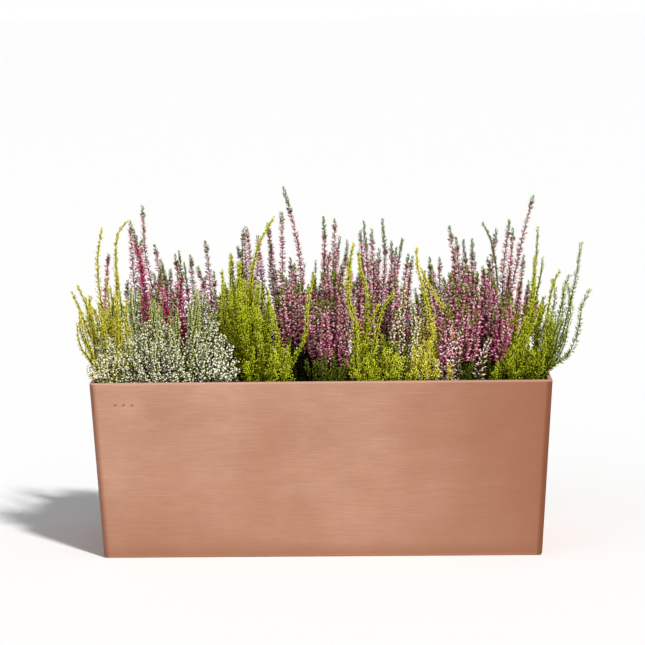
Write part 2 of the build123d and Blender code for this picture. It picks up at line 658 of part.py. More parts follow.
def wall_bumper(side):
    x = side * BUMPER_X
    length = WALL_FACE_Y - BUMPER_PAD_Y
    middle = Pos(x, BUMPER_PAD_Y + length / 2, BUMPER_Z)
    bumper = middle * Rot(-90, 0, 0) * Cone(BUMPER_R, BUMPER_R - 2, length)
    bumper = fillet(bumper.edges().group_by(Axis.Y)[-1], 1.5)
    bumper -= along_y(x, BUMPER_Z, BUMPER_PAD_Y - 1, WALL_FACE_Y + 1, SCREW_R + 0.3)
    return bumper - along_y(x, BUMPER_Z, WALL_FACE_Y - BUMPER_RECESS, WALL_FACE_Y + 1, SCREW_HEAD_R + 0.6)


def bumper_screw(side):
    """A cross-head screw whose head sits in its bumper's recess."""
    x = side * BUMPER_X
    head_y = WALL_FACE_Y - BUMPER_RECESS
    head = along_y(x, BUMPER_Z, head_y, head_y + SCREW_HEAD_HEIGHT, SCREW_HEAD_R)
    head = fillet(head.edges().group_by(Axis.Y)[-1], 1.2)
    cross_y = (head_y + SCREW_HEAD_HEIGHT - CROSS_DEPTH, head_y + SCREW_HEAD_HEIGHT + 1)
    long_x, short_x = (x - CROSS_LONG, x + CROSS_LONG), (x - CROSS_SHORT, x + CROSS_SHORT)
    cross = block(long_x, cross_y, (BUMPER_Z - CROSS_SHORT, BUMPER_Z + CROSS_SHORT))
    cross += block(short_x, cross_y, (BUMPER_Z - CROSS_LONG, BUMPER_Z + CROSS_LONG))
    return head - cross + along_y(x, BUMPER_Z, BUMPER_PAD_Y - SCREW_REACH, head_y + 0.5, SCREW_R)


# ---- heather ---------------------------------------------------------------
# Each plant is one closed solid of the space that its sprigs fill: a footprint on the soil that is
# (low x, high x, low y, high y), its top, and how far its shoulder leans out past that footprint.

FRONT_Y = (-84.0, -1.0)
CORNER_Y = (-84.0, -46.0)
BACK_Y = (1.0, 86.0)
FRONT_LEAN = 20.0
BACK_LEAN = 12.0
LEAN_START_Z = 232.0  # clear of the raised handles below this
SHOULDER_SHARE = 0.45
CROWN_INSET_X = 6.0
CROWN_INSET_Y = 10.0

HEATHER = {
    "yellow_left": ((-238, -202), CORNER_Y, 352, -28),
    "white_left": ((-200, -91), FRONT_Y, 318, 0),
    "lime_left": ((-89, -33), FRONT_Y, 338, 0),
    "pink_centre": ((-31, 26), (-84.0, 26.0), 376, 0),
    "lime_centre": ((28, 96), FRONT_Y, 330, 0),
    "yellow_right": ((98, 138), FRONT_Y, 342, 0),
    "pink_right": ((140, 188), FRONT_Y, 378, 0),
    "lime_right": ((190, 217), FRONT_Y, 366, 0),
    "sage_right": ((219, 238), CORNER_Y, 340, 48),
    "purple_left": ((-216, -120), BACK_Y, 386, -26),
    "pink_back_left": ((-118, -66), BACK_Y, 404, 0),
    "pink_back_centre": ((32, 104), BACK_Y, 366, 0),
    "pink_back_right": ((106, 216), BACK_Y, 396, 26),
}


def heather(footprint_x, footprint_y, top_z, lean_x):
    """A ruled loft through four rounded rectangles: foot, waist, shoulder and crown."""
    low_x, high_x = footprint_x
    low_y, high_y = footprint_y
    lean_low = min(lean_x, 0)
    lean_high = max(lean_x, 0)
    front = FRONT_LEAN if low_y < -60 else 0
    back = BACK_LEAN if high_y > 60 else 0
    shoulder_z = LEAN_START_Z + SHOULDER_SHARE * (top_z - LEAN_START_Z)
    levels = (
        (SOIL_TOP_Z, low_x, high_x, low_y, high_y),
        (LEAN_START_Z, low_x, high_x, low_y - 0.5 * front, high_y + 0.5 * back),
        (shoulder_z, low_x + lean_low, high_x + lean_high, low_y - front, high_y + back),
        (top_z, low_x + lean_low + CROWN_INSET_X, high_x + lean_high - CROWN_INSET_X,
         low_y + CROWN_INSET_Y, high_y - CROWN_INSET_Y))
    sections = []
    for z, x0, x1, y0, y1 in levels:
        outline = RectangleRounded(x1 - x0, y1 - y0, 3)
        sections.append(Pos((x0 + x1) / 2, (y0 + y1) / 2, z) * outline)
    return loft(sections, ruled=True)


# ---- write every piece -----------------------------------------------------

def write_all():
    write("outer_shell", outer_shell())
    write("overflow_fitting", overflow_fitting())
    write("drain_plug", drain_plug())
    write("drain_plug_seal", drain_plug_seal())
    write("planting_liner", planting_liner())
    write("potting_soil", *potting_soil())
    write("filler_tube", filler_tube())
    write("filler_cap", filler_cap())
    write("filler_cap_pin", filler_cap_pin())
    write("gauge_tube", gauge_tube())
    write("gauge_window", gauge_window())
    write("gauge_float", gauge_float())
    write("indicator_rod", indicator_rod())
    write("indicator_tip", indicator_tip())
    for name, side in SIDES.items():
        write("wick_basket_" + name, wick_basket(side))
        write("liner_handle_" + name, liner_handle(side))
        write("hanger_plate_" + name, hanger_plate(side))
        write("hanger_hook_" + name, hanger_hook(side))
        write("arm_pads_" + name, *arm_pads(side))
        write("hook_pad_" + name, hook_pad(side))
        write("clamp_bolt_" + name, clamp_bolt(side))
        write("clamp_washer_" + name, clamp_washer(side))
        write("wing_nut_" + name, wing_nut(side))
        write("wall_bumper_" + name, wall_bumper(side))
    places = [(side, z) for side in SIDES.values() for z in BOLT_ZS]
    write("threaded_inserts", *[threaded_insert(side, z) for side, z in places])
    write("hanger_bolts", *[hanger_bolt(side, z) for side, z in places])
    write("bumper_screws", *[bumper_screw(side) for side in SIDES.values()])
    for name, plant in HEATHER.items():
        write("heather_" + name, heather(*plant))


os.makedirs("parts", exist_ok=True)
write_all()
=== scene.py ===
"""Looks of the self watering planter: terracotta shell, planted heather, liner, gauge and hangers."""

import json
import math

import bpy
import numpy as np
from mathutils import Matrix, Vector


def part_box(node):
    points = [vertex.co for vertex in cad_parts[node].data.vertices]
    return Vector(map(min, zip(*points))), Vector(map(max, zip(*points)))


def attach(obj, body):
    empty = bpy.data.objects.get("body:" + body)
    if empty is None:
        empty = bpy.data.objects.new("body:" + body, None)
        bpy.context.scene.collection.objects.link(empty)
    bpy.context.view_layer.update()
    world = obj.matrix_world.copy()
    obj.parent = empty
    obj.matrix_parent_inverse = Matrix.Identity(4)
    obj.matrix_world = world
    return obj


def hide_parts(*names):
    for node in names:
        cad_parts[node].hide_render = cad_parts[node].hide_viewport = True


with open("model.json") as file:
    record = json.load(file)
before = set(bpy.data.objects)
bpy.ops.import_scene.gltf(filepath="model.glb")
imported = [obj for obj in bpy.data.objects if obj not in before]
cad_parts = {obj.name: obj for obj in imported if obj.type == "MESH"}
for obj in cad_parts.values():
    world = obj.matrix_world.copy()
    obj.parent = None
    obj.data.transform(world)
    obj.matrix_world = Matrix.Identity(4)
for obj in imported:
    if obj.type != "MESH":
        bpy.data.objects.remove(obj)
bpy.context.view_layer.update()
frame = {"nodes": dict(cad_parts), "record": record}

MM = 0.001
GOLDEN = math.pi * (3 - math.sqrt(5))
SHELL_LOW, SHELL_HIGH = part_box("outer_shell")
SHELL_HEIGHT = SHELL_HIGH[2]
RIM_Z = SHELL_HEIGHT / MM  # in millimetres, as every plant size below
SOIL_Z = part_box("potting_soil")[1][2] / MM
INSIDE_X, INSIDE_Y = 241.0, 91.0  # how far a leaf may be from the middle before it would meet the rim
HANDLE_TRAVEL = 45  # how far the handles pull up
HANDLE_ROOM = 4
HANDLE_LOW, HANDLE_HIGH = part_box("liner_handle_right")
HANDLE_IN = HANDLE_LOW[0] / MM - HANDLE_ROOM
HANDLE_SIDE = HANDLE_HIGH[1] / MM + HANDLE_ROOM
HANDLE_TOP = HANDLE_HIGH[2] / MM + HANDLE_TRAVEL + HANDLE_ROOM


# ---- camera, light and stage -------------

def make_camera():
    """Stands 2.5 m in front of the shell, a little above the plants, turned slightly to the left."""
    distance, aside, height = 2.5, 0.058, 0.403
    pitch, yaw, roll = (math.radians(angle) for angle in (7.71, -1.26, -0.67))
    place = Vector((aside, SHELL_LOW[1] - distance, SHELL_HEIGHT + height))
    forward = Vector((math.sin(yaw) * math.cos(pitch), math.cos(yaw) * math.cos(pitch), -math.sin(pitch)))
    right = Vector((math.cos(yaw), -math.sin(yaw), 0))
    up = right.cross(forward)
    rolled_right = right * math.cos(roll) + up * math.sin(roll)
    rolled_up = up * math.cos(roll) - right * math.sin(roll)
    turn = Matrix((rolled_right, rolled_up, -forward)).transposed().to_4x4()
    data = bpy.data.cameras.new("camera")
    data.sensor_width = 36.0
    data.lens = 131.3
    data.clip_start = 0.05
    data.clip_end = 100.0
    camera = bpy.data.objects.new("camera", data)
    camera.matrix_world = Matrix.Translation(place) @ turn
    bpy.context.collection.objects.link(camera)
    bpy.context.scene.camera = camera


def sun_light(name, direction, softness, strength, colour):
    """A light from far away; direction points from the planter to the light, softness is in degrees."""
    data = bpy.data.lights.new(name, "SUN")
    data.angle = math.radians(softness)
    data.energy = strength
    data.color = colour
    light = bpy.data.objects.new(name, data)
    light.rotation_euler = Vector(direction).to_track_quat("Z", "Y").to_euler()
    bpy.context.collection.objects.link(light)


def make_light():
    """One soft high key light from the front right, a weak fill from the left, and a pale sky."""
    scene = bpy.context.scene
    scene.view_settings.view_transform = "Standard"
    world = bpy.data.worlds.new("studio")
    world.use_nodes = True
    tree = world.node_tree
    direction = tree.nodes.new("ShaderNodeTexCoord")
    split = tree.nodes.new("ShaderNodeSeparateXYZ")
    ramp = tree.nodes.new("ShaderNodeValToRGB")
    ramp.color_ramp.elements[0].color = (1.0, 1.0, 1.0, 1)
    ramp.color_ramp.elements[1].color = (0.32, 0.33, 0.34, 1)
    ramp.color_ramp.elements[1].position = 0.35
    tree.links.new(direction.outputs["Generated"], split.inputs[0])
    tree.links.new(split.outputs["Z"], ramp.inputs["Fac"])
    tree.links.new(ramp.outputs["Color"], tree.nodes["Background"].inputs["Color"])
    scene.world = world
    sun_light("key", (0.42, -0.62, 0.86), 5.0, 3.3, (1.0, 0.985, 0.96))
    sun_light("fill", (-0.8, -0.7, 0.5), 40.0, 0.25, (0.96, 0.98, 1.0))


def make_floor():
    """A wide pale floor under the planter."""
    half = 300.0
    mesh = bpy.data.meshes.new("floor")
    corners = [(-half, -half, 0), (half, -half, 0), (half, half, 0), (-half, half, 0)]
    mesh.from_pydata(corners, [], [(0, 1, 2, 3)])
    floor = bpy.data.objects.new("floor", mesh)
    bpy.context.collection.objects.link(floor)
    shade = Shade("floor_paint")
    shade.set(Roughness=0.9, Specular_IOR_Level=0.2)
    shade.base((0.86, 0.86, 0.865))
    mesh.materials.append(shade.material)


# ---- material helpers --------------------

class Shade:
    """A Principled material with short calls for the nodes that it uses."""

    def __init__(self, name):
        self.material = bpy.data.materials.new(name)
        self.material.use_nodes = True
        self.tree = self.material.node_tree
        self.shader = self.tree.nodes["Principled BSDF"]

    def node(self, kind, **values):
        made = self.tree.nodes.new(kind)
        for name, value in values.items():
            setattr(made, name, value)
        return made

    def link(self, start, end):
        self.tree.links.new(start, end)

    def set(self, **values):
        for name, value in values.items():
            self.shader.inputs[name.replace("_", " ")].default_value = value

    def base(self, colour):
        self.shader.inputs["Base Color"].default_value = (*colour, 1)

    def place(self, scale=(1, 1, 1)):
        """Object coordinates, which are the planter's own metres, stretched by scale."""
        coordinates = self.node("ShaderNodeTexCoord")
        mapping = self.node("ShaderNodeMapping")
        mapping.inputs["Scale"].default_value = scale
        self.link(coordinates.outputs["Object"], mapping.inputs["Vector"])
        return mapping.outputs["Vector"]

    def noise(self, scale, stretch=(1, 1, 1), detail=3.0, rough=0.55):
        texture = self.node("ShaderNodeTexNoise")
        texture.inputs["Scale"].default_value = scale
        texture.inputs["Detail"].default_value = detail
        texture.inputs["Roughness"].default_value = rough
        self.link(self.place(stretch), texture.inputs["Vector"])
        return texture.outputs["Fac"]

    def ramp(self, factor, stops):
        """A colour ramp; stops are (position, (r, g, b))."""
        ramp = self.node("ShaderNodeValToRGB")
        elements = ramp.color_ramp.elements
        while len(elements) < len(stops):
            elements.new(0.5)
        for element, (position, colour) in zip(elements, stops):
            element.position = position
            element.color = (*colour, 1)
        self.link(factor, ramp.inputs["Fac"])
        return ramp.outputs["Color"]

    def remap(self, factor, low, high, to_low=0.0, to_high=1.0):
        node = self.node("ShaderNodeMapRange")
        for name, value in (("From Min", low), ("From Max", high), ("To Min", to_low), ("To Max", to_high)):
            node.inputs[name].default_value = value
        self.link(factor, node.inputs["Value"])
        return node.outputs["Result"]

    def math(self, operation, first, second):
        node = self.node("ShaderNodeMath", operation=operation)
        for socket, value in zip(node.inputs, (first, second)):
            if isinstance(value, (int, float)):
                socket.default_value = value
            else:
                self.link(value, socket)
        return node.outputs["Value"]

    def mix(self, factor, first, second, blend="MIX"):
        """Mixes two colours; each may be a socket or an (r, g, b)."""
        node = self.node("ShaderNodeMix", data_type="RGBA", blend_type=blend)
        if isinstance(factor, (int, float)):
            node.inputs["Factor"].default_value = factor
        else:
            self.link(factor, node.inputs["Factor"])
        for name, value in (("A", first), ("B", second)):
            socket = next(s for s in node.inputs if s.name == name and s.type == "RGBA")
            if isinstance(value, tuple):
                socket.default_value = (*value, 1)
            else:
                self.link(value, socket)
        return next(s for s in node.outputs if s.type == "RGBA")

    def colour(self, socket):
        self.link(socket, self.shader.inputs["Base Color"])

    def rough(self, socket):
        self.link(socket, self.shader.inputs["Roughness"])

    def bump(self, height, strength, distance, under=None):
        node = self.node("ShaderNodeBump")
        node.inputs["Strength"].default_value = strength
        node.inputs["Distance"].default_value = distance
        self.link(height, node.inputs["Height"])
        if under is not None:
            self.link(under, node.inputs["Normal"])
        return node.outputs["Normal"]

    def normal(self, socket):
        self.link(socket, self.shader.inputs["Normal"])


def dress(node, material):
    """Gives one CAD node its material."""
    target = frame["nodes"][node]
    target.data.materials.clear()
    target.data.materials.append(material)


# ---- materials of the hard parts ---------

def terracotta():
    """Matt clay-coloured composite: cloudy tone, fine combed lines, painted shade on the rounded vertical
    edges, in a shallow recess near the top of the front and towards the right end, and a painted highlight
    that makes the rim pale.
    """
    shade = Shade("terracotta")
    clouds = shade.noise(7.0, (1, 1, 1.4), 5.0, 0.6)
    tone = shade.ramp(clouds, (
        (0.30, (0.375, 0.178, 0.108)),
        (0.50, (0.445, 0.232, 0.150)),
        (0.70, (0.525, 0.288, 0.198))))
    lines = shade.noise(1.0, (40, 40, 560), 4.0, 0.65)
    tone = shade.mix(shade.remap(lines, 0.40, 0.62, 0.0, 0.36), tone, (0.350, 0.172, 0.108))
    streaks = shade.noise(1.0, (24, 24, 900), 2.0, 0.6)
    tone = shade.mix(shade.remap(streaks, 0.55, 0.72, 0.0, 0.25), tone, (0.58, 0.35, 0.25))
    smears = shade.noise(1.0, (14, 14, 26), 5.0, 0.65)
    tone = shade.mix(shade.remap(smears, 0.5, 0.8, 0.0, 0.35), tone, (0.57, 0.34, 0.25))
    grain = shade.noise(1400.0, (1, 1, 1), 2.0, 0.7)
    tone = shade.mix(shade.remap(grain, 0.55, 0.75, 0.0, 0.22), tone, (0.34, 0.16, 0.10))

    split = shade.node("ShaderNodeSeparateXYZ")
    shade.link(shade.place(), split.inputs[0])
    x, y, z = (split.outputs[axis] for axis in "XYZ")
    # Painted shade: the shell darkens towards its right end.
    right_end_shade = shade.remap(x, 0.05, 0.255)
    tone = shade.mix(shade.math("MULTIPLY", right_end_shade, 0.95), tone, (0.272, 0.098, 0.046))
    low_end = shade.remap(z, 0.09, 0.0)
    tone = shade.mix(shade.math("MULTIPLY", low_end, 0.55), tone, (0.31, 0.14, 0.08))
    foot = shade.remap(z, 0.018, 0.005)
    tone = shade.mix(shade.math("MULTIPLY", foot, 0.42), tone, (0.25, 0.095, 0.05))
    lip = shade.remap(z, 0.0030, 0.0016)
    tone = shade.mix(shade.math("MULTIPLY", lip, 0.6), tone, (0.50, 0.24, 0.15))
    low_half_x, low_half_y = 0.2395, 0.0895  # half the shell's size at its foot
    lean = 0.05385  # how much each wall leans out per metre of height
    edge_width = 0.0078
    out_x = shade.math("SUBTRACT", shade.math("ABSOLUTE", x, 0), shade.math("MULTIPLY", z, lean))
    out_y = shade.math("SUBTRACT", shade.math("ABSOLUTE", y, 0), shade.math("MULTIPLY", z, lean))
    # Painted shade on the rounded vertical corners of the shell, weaker towards its left end.
    near_x = shade.remap(out_x, low_half_x - edge_width, low_half_x - 0.45 * edge_width)
    near_y = shade.remap(out_y, low_half_y - edge_width, low_half_y - 0.45 * edge_width)
    corner_shade = shade.math("MULTIPLY", near_x, near_y)
    corner_shade = shade.math("MULTIPLY", corner_shade, shade.remap(x, -0.1, 0.1, 0.6, 1.0))
    tone = shade.mix(shade.math("MULTIPLY", corner_shade, 0.95), tone, (0.175, 0.054, 0.020))
    # Painted shade in a shallow recess, 0.15 to 1 mm behind the front face, near its top.
    recess_shade = shade.math("MULTIPLY", shade.remap(out_y, low_half_y - 0.00015, low_half_y - 0.00035),
                         shade.remap(out_y, low_half_y - 0.0010, low_half_y - 0.0008))
    recess_shade = shade.math("MULTIPLY", recess_shade, shade.remap(y, -0.08, -0.085))
    recess_shade = shade.math("MULTIPLY", recess_shade, shade.remap(z, 0.160, 0.165))
    tone = shade.mix(shade.math("MULTIPLY", recess_shade, 0.8), tone, (0.17, 0.065, 0.035))
    # Painted highlight: the top 2.5 mm of the shell, along the rim, is made paler.
    rim = shade.remap(z, SHELL_HEIGHT - 0.0025, SHELL_HEIGHT - 0.0006)
    tone = shade.mix(shade.math("MULTIPLY", rim, 0.45), tone, (0.66, 0.42, 0.32))
    shade.colour(tone)
    shade.rough(shade.remap(clouds, 0.3, 0.7, 0.62, 0.78))
    soft = shade.bump(clouds, 0.2, 0.0015)
    combed = shade.bump(lines, 0.4, 0.0005, soft)
    shade.normal(shade.bump(grain, 0.25, 0.00025, combed))
    shade.set(Specular_IOR_Level=0.3)
    return shade.material


def moulded_plastic(name, dark, light, roughness=0.5, scale=900.0):
    """Plastic with a fine spark-eroded grain and slight flow marks."""
    shade = Shade(name)
    flow = shade.noise(14.0, (1, 1, 2.5), 3.0)
    grain = shade.noise(scale, (1, 1, 1), 2.0)
    tone = shade.ramp(flow, ((0.3, dark), (0.7, light)))
    tone = shade.mix(shade.remap(grain, 0.5, 0.8, 0.0, 0.35), tone, tuple(1.6 * value for value in light))
    shade.colour(tone)
    shade.rough(shade.remap(flow, 0.3, 0.7, roughness - 0.06, roughness + 0.1))
    shade.normal(shade.bump(grain, 0.3, 0.0002))
    return shade.material


def coated_steel():
    """Black powder coat with its orange-peel surface."""
    shade = Shade("powder_coat")
    peel = shade.noise(650.0, (1, 1, 1), 1.5)
    dust = shade.noise(30.0, (1, 1, 1), 5.0, 0.7)
    shade.colour(shade.ramp(dust, ((0.35, (0.018, 0.018, 0.019)), (0.75, (0.042, 0.041, 0.040)))))
    shade.rough(shade.remap(dust, 0.3, 0.7, 0.36, 0.5))
    shade.normal(shade.bump(peel, 0.35, 0.0003))
    return shade.material


def plated_metal(name, dark, light, roughness):
    """Bare plated metal with fine turning marks and dull patches."""
    shade = Shade(name)
    patches = shade.noise(90.0, (1, 1, 1), 4.0, 0.65)
    marks = shade.noise(1.0, (700, 700, 2600), 2.0)
    shade.colour(shade.ramp(patches, ((0.3, dark), (0.7, light))))
    shade.rough(shade.remap(patches, 0.3, 0.7, roughness, roughness + 0.18))
    shade.set(Metallic=1.0)
    shade.normal(shade.bump(marks, 0.25, 0.0001))
    return shade.material


def rubber():
    """Black rubber with a grey bloom."""
    shade = Shade("rubber")
    bloom = shade.noise(60.0, (1, 1, 1), 5.0, 0.7)
    shade.colour(shade.ramp(bloom, ((0.35, (0.013, 0.013, 0.013)), (0.8, (0.05, 0.048, 0.045)))))
    shade.rough(shade.remap(bloom, 0.3, 0.7, 0.7, 0.88))
    shade.normal(shade.bump(shade.noise(1200.0), 0.3, 0.0002))
    return shade.material


def clear_plastic():
    """The gauge's see-through dome, with hardly visible scuffs."""
    shade = Shade("clear_dome")
    shade.set(Transmission_Weight=0.0, Alpha=0.32, IOR=1.49)
    scuffs = shade.noise(220.0, (1, 1, 0.3), 4.0, 0.7)
    shade.base((0.90, 0.94, 0.93))
    shade.rough(shade.remap(scuffs, 0.4, 0.8, 0.06, 0.22))
    return shade.material


def soil_material():
    """Dark peat with lighter fibres and specks of white grit."""
    shade = Shade("peat")
    clods = shade.noise(160.0, (1, 1, 1), 6.0, 0.7)
    fibres = shade.noise(1.0, (900, 240, 900), 4.0, 0.7)
    tone = shade.ramp(clods, ((0.3, (0.010, 0.006, 0.004)), (0.55, (0.035, 0.020, 0.012)),
                              (0.8, (0.085, 0.052, 0.030))))
    tone = shade.mix(shade.remap(fibres, 0.6, 0.75, 0.0, 0.6), tone, (0.14, 0.085, 0.045))
    shade.colour(tone)
    shade.set(Roughness=0.95)
    shade.normal(shade.bump(clods, 0.8, 0.002))
    return shade.material


def dress_hard_parts():
    """Gives every CAD part but the plants the material of its slot."""
    black = moulded_plastic("liner_plastic", (0.012, 0.012, 0.012), (0.022, 0.021, 0.021), 0.55)
    grey = moulded_plastic("fitting_plastic", (0.030, 0.031, 0.033), (0.050, 0.051, 0.054), 0.45)
    red = moulded_plastic("float_plastic", (0.42, 0.020, 0.014), (0.56, 0.034, 0.024), 0.3)
    white = moulded_plastic("rod_plastic", (0.58, 0.58, 0.56), (0.66, 0.66, 0.64), 0.45)
    steel = coated_steel()
    zinc = plated_metal("zinc_plate", (0.44, 0.44, 0.45), (0.66, 0.66, 0.65), 0.28)
    brass = plated_metal("brass", (0.50, 0.33, 0.11), (0.68, 0.47, 0.18), 0.25)
    black_rubber = rubber()
    by_slot = {
        "shell": terracotta(), "liner": black, "wick_plastic": grey, "soil": soil_material(), "filler": grey,
        "clear": clear_plastic(), "float_red": red, "rod_white": white, "hanger_steel": steel,
        "zinc_steel": zinc, "brass_insert": brass, "rubber": black_rubber}
    for part in frame["record"]["subparts"]:
        if part["material_slot"] in by_slot:
            dress(part["node"], by_slot[part["material_slot"]])


# ---- plant building blocks ---------------
# A bud or a leaf is a small closed spindle. Thousands of them are placed at once, as arrays. Their UV
# map holds no picture: u picks a colour from the variety's list and v runs from the base to the tip.

def spindle(sides, rings):
    """Vertices, triangles, and each vertex's (u step, v), of a pointed body of unit length along +Z."""
    vertices = [(0.0, 0.0, 0.0)]
    steps = [(0.0, 0.0)]
    for height, half_width in rings:
        for side in range(sides):
            angle = 2 * math.pi * side / sides
            vertices.append((half_width * math.cos(angle), half_width * math.sin(angle), height))
            steps.append((side % 2 if sides % 2 == 0 else side / 2, height))
    vertices.append((0.0, 0.0, 1.0))
    steps.append((0.5, 1.0))
    last = len(vertices) - 1
    faces = []
    for side in range(sides):
        after = (side + 1) % sides
        faces.append((0, 1 + after, 1 + side))
        for ring in range(len(rings) - 1):
            low = 1 + ring * sides
            high = low + sides
            faces.append((low + side, low + after, high + after))
            faces.append((low + side, high + after, high + side))
        top = 1 + (len(rings) - 1) * sides
        faces.append((top + side, top + after, last))
    return np.array(vertices), np.array(faces), np.array(steps)


SHAPES = {
    "bud": spindle(3, ((0.28, 0.46), (0.74, 0.42))),
    "bead": spindle(4, ((0.5, 0.5),)),
    "crumb": spindle(5, ((0.3, 0.5), (0.75, 0.42))),
    "leaf": spindle(3, ((0.38, 0.5),)),
}
FLOWER, LEAF, WOOD = (0.03, 0.55), (0.62, 0.87), (0.92, 0.98)  # where each group of colours lies along u
UV_STEP = 0.012  # how far apart the sides of one bud or leaf lie along u


class Growth:
    """Gathers the buds, leaves and stems of one plant and makes one mesh of them."""

    def __init__(self, seed):
        self.rng = np.random.default_rng(seed)
        self.places = {name: [] for name in SHAPES}
        self.tubes = []

    def put(self, shape, base, axis, length, width, group, tint):
        """Places spindles: base and axis are arrays of vectors, the rest is one number for each.

        Those that would meet the rim or a raised handle are left out.
        """
        low, high = group
        shade = low + (high - low) * np.clip(tint, 0, 1)
        rows = np.column_stack((base, axis, length, width, shade))
        inside = (np.abs(base[:, 0]) < INSIDE_X) & (np.abs(base[:, 1]) < INSIDE_Y)
        handle = (np.abs(base[:, 0]) > HANDLE_IN - 3) & (np.abs(base[:, 1]) < HANDLE_SIDE + 4)
        handle &= base[:, 2] < HANDLE_TOP + 2
        self.places[shape].append(rows[(inside | (base[:, 2] > RIM_Z + 4)) & ~handle])

    def stem(self, points, start_radius, end_radius):
        self.tubes.append((points, start_radius, end_radius))

    def mesh(self, name):
        vertices, faces, maps = [], [], []
        count = 0
        for shape, rows in self.places.items():
            if not rows:
                continue
            rows = np.concatenate(rows)
            form, triangles, steps = SHAPES[shape]
            axis = unit(rows[:, 3:6])
            side, third = across(axis)
            local = form[None] * np.stack((rows[:, 7], rows[:, 7], rows[:, 6]), axis=1)[:, None]
            spread = (local[..., :1] * side[:, None] + local[..., 1:2] * third[:, None]
                      + local[..., 2:] * axis[:, None] + rows[:, None, :3])
            vertices.append(spread.reshape(-1, 3))
            start = count + len(form) * np.arange(len(rows))
            faces.append((triangles[None] + start[:, None, None]).reshape(-1, 3))
            shade = np.repeat(rows[:, 8], len(form)).reshape(-1, len(form))
            u = shade + UV_STEP * (steps[None, :, 0] - 0.5)
            v = np.broadcast_to(0.04 + 0.92 * steps[None, :, 1], u.shape)
            maps.append(np.stack((u, v), axis=-1).reshape(-1, 2))
            count += len(rows) * len(form)
        for points, start_radius, end_radius in self.tubes:
            tube, triangles, uv = tube_mesh(points, start_radius, end_radius)
            vertices.append(tube)
            faces.append(triangles + count)
            maps.append(uv)
            count += len(tube)
        return mesh_from(name, np.concatenate(vertices) * MM, np.concatenate(faces), np.concatenate(maps))


def unit(vectors):
    return vectors / np.linalg.norm(vectors, axis=-1, keepdims=True)


def across(axis):
    """Two directions at right angles to each axis."""
    helper = np.where(np.abs(axis[:, 2:]) > 0.9, [[1.0, 0.0, 0.0]], [[0.0, 0.0, 1.0]])
    side = unit(np.cross(axis, helper))
    return side, np.cross(axis, side)


def tube_mesh(points, start_radius, end_radius, sides=4):
    """A thin stem with closed ends that narrows along its points."""
    tangent = unit(np.gradient(points, axis=0))
    side, third = across(tangent)
    share = np.linspace(0, 1, len(points))[:, None, None]
    radius = start_radius + (end_radius - start_radius) * share
    angle = 2 * math.pi * np.arange(sides) / sides
    ring = np.cos(angle)[None, :, None] * side[:, None] + np.sin(angle)[None, :, None] * third[:, None]
    body = (points[:, None] + radius * ring).reshape(-1, 3)
    vertices = np.vstack((body, points[:1], points[-1:]))
    first, last = len(body), len(body) + 1
    faces = []
    for level in range(len(points) - 1):
        for k in range(sides):
            after = (k + 1) % sides
            low = level * sides
            faces.append((low + k, low + after, low + sides + after))
            faces.append((low + k, low + sides + after, low + sides + k))
    top = (len(points) - 1) * sides
    for k in range(sides):
        after = (k + 1) % sides
        faces.append((first, after, k))
        faces.append((last, top + k, top + after))
    u = WOOD[0] + (WOOD[1] - WOOD[0]) * (np.tile(np.arange(sides) % 2, len(points)) * 0.8 + 0.1)
    v = 0.1 + 0.8 * np.repeat(np.arange(len(points)) / (len(points) - 1), sides)
    uv = np.vstack((np.column_stack((u, v)), (0.95, 0.05), (0.95, 0.95)))
    return vertices, np.array(faces), uv


def mesh_from(name, vertices, faces, uv):
    """Builds a triangle mesh from arrays, with one UV point for each vertex."""
    mesh = bpy.data.meshes.new(name)
    mesh.vertices.add(len(vertices))
    mesh.vertices.foreach_set("co", vertices.astype(np.float32).ravel())
    corners = faces.astype(np.int32).ravel()
    mesh.loops.add(len(corners))
    mesh.loops.foreach_set("vertex_index", corners)
    mesh.polygons.add(len(faces))
    mesh.polygons.foreach_set("loop_start", np.arange(0, len(corners), 3, dtype=np.int32))
    mesh.polygons.foreach_set("use_smooth", np.ones(len(faces), dtype=bool))
    layer = mesh.uv_layers.new(name="OFBake")
    layer.data.foreach_set("uv", uv[corners].astype(np.float32).ravel())
    mesh.update(calc_edges=True)
    return mesh


# ---- sprigs ------------------------------

